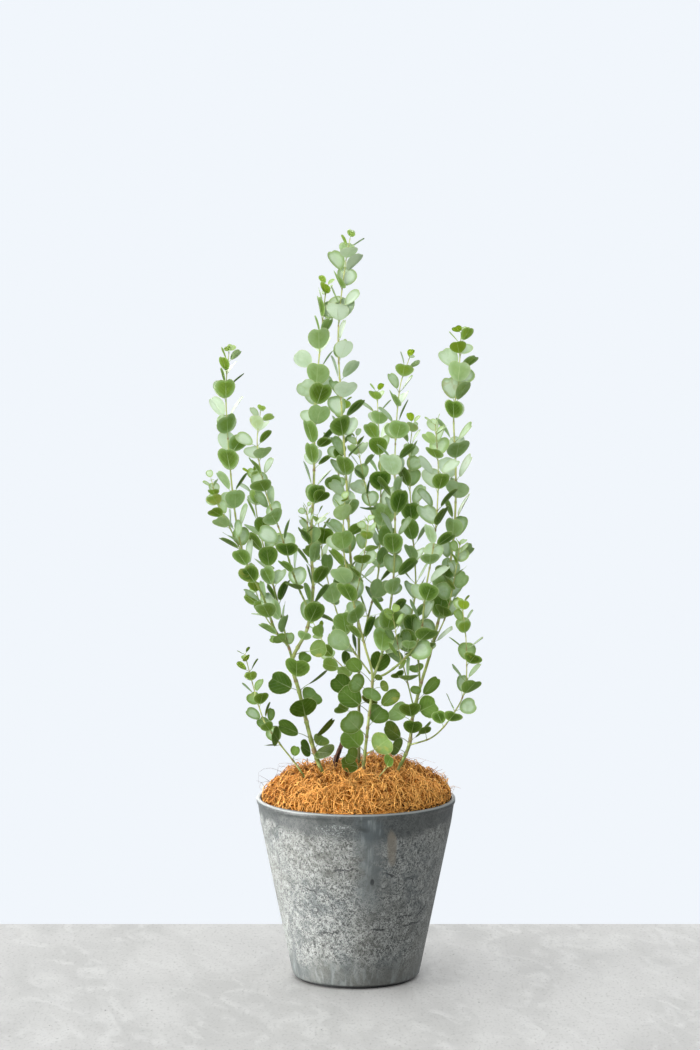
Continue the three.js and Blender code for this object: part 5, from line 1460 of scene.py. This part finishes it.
def all_blades():
    """Points (leaves, points each, 3): upper middle, upper ring, rim, lower ring, lower middle."""
    middle = [blade_layer(0.0, side) for side in (1, -1)]
    layers = [
        (middle[0][0][:, :1], middle[0][1][:, :1]), blade_layer(BLADE_RINGS[0], 1),
        blade_layer(BLADE_RINGS[1], 0), blade_layer(BLADE_RINGS[0], -1),
        (middle[1][0][:, :1], middle[1][1][:, :1]),
    ]
    return [np.concatenate([layer[i] for layer in layers], 1) for i in (0, 1)]


blade_points, blade_where = all_blades()
blade_quads = ring_faces(len(BLADE_RINGS) + 1, BLADE_SECTORS)[:, ::-1] + 1
blade_fans = close_poles(len(BLADE_RINGS) + 1, BLADE_SECTORS)[:, ::-1]
print("faces of a blade:", len(blade_quads) + len(blade_fans))

# %% [markdown]
# A leaf's stalk leaves the smooth stem, and runs on under the blade as its midrib. It is one
# thin three-sided rod: a short curve from stem to blade, then the line of the midrib.

# %% Stalks and midribs
STALK_STEPS = 3
RIB_SHARES = np.array([0.0, 0.3, 0.75])
STALK_SIDES = 3
STALK_ARCH = 0.12
RIB_DEPTH = 0.22


def stalk_paths():
    """Paths (leaves, steps, 3): a curve with one control point, then points under the blade."""
    start = np.array([
        spline(STEMS[leaf["stem"]][5], spans_at(leaf["stem"], leaf["at"])) for leaf in leaves
    ])
    bend = (start + blade["foot"]) / 2 + np.array([0, 0, STALK_ARCH]) * blade["stalk"][:, None]
    share = (np.arange(STALK_STEPS) / STALK_STEPS)[None, :, None]
    curve = (1 - share) ** 2 * start[:, None] + 2 * share * (1 - share) * bend[:, None]
    curve = curve + share ** 2 * blade["foot"][:, None]
    forward = RIB_SHARES * blade["length"][:, None]
    rib = blade_point(forward, 0 * forward, blade_heights(forward, 0 * forward) - RIB_DEPTH)
    return np.concatenate([curve, rib], 1)


# In mm, from the stalk's foot to the midrib's end, for a leaf of the usual width
RIB_RADII = np.array([0.75, 0.62, 0.52, 0.46, 0.34, 0.14])
stalk_radii = RIB_RADII * (0.55 + 0.45 * blade["width"][:, None] / USUAL_WIDTH)
stalk_points, stalk_faces = rods(stalk_paths(), stalk_radii, STALK_SIDES, along_x)
print("faces of a stalk:", (len(stalk_faces[0]) + len(stalk_faces[1])) // LEAF_COUNT)

# %% [markdown]
# A waxy bloom makes a leaf pale blue-green. Where it is thin, the green below shows, deep when
# the light comes from behind. Young leaves are lime. So each leaf carries its own tone, and the
# finish adds fine side veins, a pale midrib and a thin yellow margin from its place on the
# blade. The tone is also painted shade: lower sides and low leaves are painted deeper green.
# A part of the shader lets light through, which gives the glow of leaves in backlight.

# %% Leaf tones
YOUTH_LENGTH = 38
# Leaves are paler from this height in mm, over this span: painted light, with painted shade below
PAINTED_LIGHT_FROM = 430
PAINTED_LIGHT_SPAN = 350
# The scale of a large leaf's bloom from the table, which is also painted shade
LARGE_BLOOM_AND_SHADE = 0.9
SPOTTED_SHARE, SPOTTED_TONE = 0.06, 0.6


def leaf_tones():
    """Bloom, youth, olive and spots of each leaf's upper and lower side.

    The upper side has the thick bloom. The lower one shows the green, painted deeper as its
    shade, and both are paler high up, as painted light. Of a large leaf, the side that looks at
    the viewer has the tone given in the table.
    """
    from_tip = gather("from_tip")
    youth = np.exp(-from_tip / YOUTH_LENGTH) * leaf_rng.uniform(0.3, 1.1, LEAF_COUNT)
    # Painted light: the higher a leaf, the paler it is
    high = np.clip((gather("middle")[:, 2] - PAINTED_LIGHT_FROM) / PAINTED_LIGHT_SPAN, 0, 1)
    # The lower side has less bloom, and so is painted deeper green as its shade
    bloom_and_painted_shade = {
        "upper": 0.48 + 0.20 * high + 0.42 * leaf_rng.beta(1.5, 1.0, LEAF_COUNT),
        "lower": 0.08 * high + (0.42 + 0.50 * high) * leaf_rng.beta(0.8, 1.1, LEAF_COUNT),
    }
    olive = leaf_rng.uniform(0, 0.55, LEAF_COUNT) ** 2
    spots = np.where(leaf_rng.uniform(0, 1, LEAF_COUNT) < SPOTTED_SHARE, SPOTTED_TONE, 0.0)
    upper = np.stack([bloom_and_painted_shade["upper"], 0.45 * youth, 0.3 * olive, spots], -1)
    lower = np.stack([bloom_and_painted_shade["lower"], youth, olive, spots], -1)
    # Large leaves take the table's tone, whose low bloom is painted shade
    for number, (*_, tone) in enumerate(LARGE_LEAVES):
        seen = lower if blade["normal"][number, 1] > 0 else upper
        seen[number] = (LARGE_BLOOM_AND_SHADE * tone[0], 0, tone[1], tone[2])
    return np.clip(upper, 0, 1), np.clip(lower, 0, 1)


upper_tones, lower_tones = leaf_tones()


def tone_of_points(mine, under):
    """The tone at points of some leaves: upper + (lower - upper) * how far under they are."""
    upper, lower = upper_tones[mine][:, None], lower_tones[mine][:, None]
    return (upper + (lower - upper) * under[..., None]).reshape(-1, 4)


# %% Leaf finish
LEAF_DEEP = (0.036, 0.090, 0.002, 1)
LEAF_GREEN = (0.140, 0.250, 0.040, 1)
LEAF_SAGE = (0.315, 0.465, 0.205, 1)
LEAF_MINT = (0.640, 0.765, 0.600, 1)
LEAF_LIME = (0.350, 0.500, 0.020, 1)
LEAF_OLIVE = (0.110, 0.130, 0.014, 1)
LEAF_YELLOW = (0.40, 0.38, 0.075, 1)
VEIN_PALE = (0.55, 0.63, 0.32, 1)
MARGIN_PALE = (0.58, 0.62, 0.31, 1)
GLOW_GREEN = (0.30, 0.50, 0.05, 1)
GLOW_SHARE = 0.18
VEIN_SPACING = 0.10
VEIN_SLANT = -1.1


def leaf_skin():
    """Deep green to mint by bloom and painted shade; olive, lime, spots, veins, midrib and margin."""
    made, tree, shader, place = new_material("leaf_skin", Roughness=0.55, Specular_IOR_Level=0.15)
    bloom_and_painted_shade, youth, olive, spots = read_attribute(tree, "tone")
    sideways, forward, rim, _ = read_attribute(tree, "blade")
    off_rib = off_by(tree, sideways, 0.5)
    dust = cloud(tree, place, 110, 4, 0.6)
    blotch = cloud(tree, place, 75, 3, 0.8)

    # The ramp from deep green to mint follows the bloom and the painted shade
    waxy_and_painted_shade = calculate(tree, "MULTIPLY_ADD", calculate(tree, "SUBTRACT", dust, 0.5), 0.28, bloom_and_painted_shade)
    colour = blend(tree, step(tree, waxy_and_painted_shade, 0.0, 0.38), LEAF_DEEP, LEAF_GREEN)
    colour = blend(tree, step(tree, waxy_and_painted_shade, 0.30, 0.70), colour, LEAF_SAGE)
    colour = blend(tree, step(tree, waxy_and_painted_shade, 0.62, 1.0), colour, LEAF_MINT)
    colour = paint(tree, colour, olive, 0.8, LEAF_OLIVE)
    colour = paint(tree, colour, youth, 0.9, LEAF_LIME)
    patch = times(tree, step(tree, blotch, 0.52, 0.64), spots)
    colour = paint(tree, colour, patch, 0.6, LEAF_YELLOW)

    slanted = calculate(tree, "MULTIPLY_ADD", off_rib, VEIN_SLANT, forward)
    wander = times(tree, cloud(tree, place, 160, 2), 0.05)
    beat = calculate(tree, "PINGPONG", calculate(tree, "ADD", slanted, wander), VEIN_SPACING)
    veins = step(tree, beat, 0.014, 0.0)
    midrib = step(tree, calculate(tree, "MULTIPLY_ADD", forward, 0.014, off_rib), 0.028, 0.012)
    midrib = times(tree, midrib, calculate(tree, "MULTIPLY_ADD", forward, -0.35, 0.42))
    pale = calculate(tree, "MAXIMUM", times(tree, veins, 0.15), midrib)
    colour = blend(tree, pale, colour, VEIN_PALE)
    colour = paint(tree, colour, step(tree, rim, 0.94, 0.985), 0.6, MARGIN_PALE)
    tree.links.new(colour, shader.inputs["Base Color"])
    add_bump(tree, shader, cloud(tree, place, 70, 0), 0.0006, 0.5)

    warm = blend(tree, 0.35, colour, GLOW_GREEN)
    glow = add_node(tree, "ShaderNodeBsdfTranslucent", {"Color": warm})
    inputs = {0: GLOW_SHARE, 1: shader.outputs[0], 2: glow.outputs[0]}
    mixed = add_node(tree, "ShaderNodeMixShader", inputs)
    tree.links.new(mixed.outputs[0], tree.nodes["Material Output"].inputs["Surface"])
    return made


leaf_finish = leaf_skin()


# %% Leaf pieces
def mark_rims_sharp(piece, is_rim):
    """The rim's edges don't share their shading, so that a thin blade doesn't look swollen."""
    mesh = piece.data
    pairs = np.empty(len(mesh.edges) * 2, np.int32)
    mesh.edges.foreach_get("vertices", pairs)
    sharp = is_rim[pairs.reshape(-1, 2)].all(1)
    made = mesh.attributes.get("sharp_edge") or mesh.attributes.new("sharp_edge", "BOOLEAN", "EDGE")
    made.data.foreach_set("value", sharp)


def add_leaves(node):
    """All blades and stalks of one leafy stem, as one piece."""
    mine = np.flatnonzero(leaf_owner == node)
    count = len(mine)
    blades, where = blade_points[mine], blade_where[mine]
    each = blades.shape[1]
    rods_each = stalk_points.shape[1] * STALK_SIDES
    stalks = stalk_points[mine].reshape(count * rods_each, 3)
    walls, ends = rods(stalk_points[mine].mean(2), stalk_radii[mine], STALK_SIDES, along_x)[1]
    quads = np.concatenate([repeat_faces(blade_quads, count, each), walls + count * each])
    fans = np.concatenate([repeat_faces(blade_fans, count, each), ends + count * each])
    points = np.concatenate([blades.reshape(-1, 3), stalks]) * MM
    name = node.replace("stem_", "leaves_")
    piece = new_piece(name, points, [quads, fans], leaf_finish, [node])
    half_under = np.full((count, rods_each), 0.5)
    tone = np.concatenate([tone_of_points(mine, where[..., 3]), tone_of_points(mine, half_under)])
    on_rib = np.tile([0.5, 0.5, 0.5, 0.0], (len(stalks), 1))
    add_attribute(piece, "tone", tone)
    add_attribute(piece, "blade", np.concatenate([where.reshape(-1, 4), on_rib]))
    is_rim = np.concatenate([where[..., 2].ravel() > 0.99, np.zeros(len(stalks), bool)])
    mark_rims_sharp(piece, is_rim)


for node in STEM_NODES:
    add_leaves(node)

# %% [markdown]
# ## The dead stub
#
# An old shoot died back and left a short dark stub that leans out of the fibre. It is a rod
# with furrowed bark: the radius swells and sinks with the angle and the height.

# %% Dead stub
STUB_PLACES = [(-46, -2, 238), (-33, 0, 280), (-26, 3, 302), (-18, 4, 324)]
STUB_WIDE = (8.5, 6.0)
STUB_RINGS = 46
STUB_SIDES = 20
TORN_FROM = 0.985
TORN_SIZE, WHOLE_SIZE = 0.45, 0.92
BARK_DARK = (0.012, 0.006, 0.004, 1)
BARK_BROWN = (0.085, 0.030, 0.014, 1)
LICHEN_PALE = (0.21, 0.13, 0.075, 1)


def stub_points():
    """radius (1 + 0.11 sin(5 a + 7 s) + 0.07 sin(9 a - 30 s)) at share s, with a torn top."""
    share = np.linspace(0, 1, STUB_RINGS)
    path = spline(STUB_PLACES, share * (len(STUB_PLACES) - 1))
    radius = thickness_at(STUB_WIDE, share) / 2 * np.where(share > TORN_FROM, TORN_SIZE, WHOLE_SIZE)
    points, faces = rods(path[None], radius[None], STUB_SIDES, along_x)
    angle = 2 * np.pi * np.arange(STUB_SIDES) / STUB_SIDES
    up = share[:, None]
    furrow = 0.11 * np.sin(5 * angle + 7 * up) + 0.07 * np.sin(9 * angle - 30 * up)
    centre = path[None, :, None]
    return (centre + (points - centre) * (1 + furrow)[None, ..., None]).reshape(-1, 3), faces


def dead_bark():
    """Nearly black bark with a brown grain and pale lichen."""
    made, tree, shader, place = new_material("dead_bark", Roughness=0.9)
    grain = cloud(tree, place, 230, 6, 0.8, stretch=(1, 1, 0.3))
    lichen = cloud(tree, place, 130, 4)
    colour = blend(tree, step(tree, grain, 0.4, 0.62), BARK_DARK, BARK_BROWN)
    colour = blend(tree, step(tree, lichen, 0.62, 0.72), colour, LICHEN_PALE)
    tree.links.new(colour, shader.inputs["Base Color"])
    add_bump(tree, shader, grain, 0.0012)
    return made


bark_points, bark_faces = stub_points()
new_piece("dead_shoot", bark_points * MM, bark_faces, dead_bark(), ["dead_stub"])
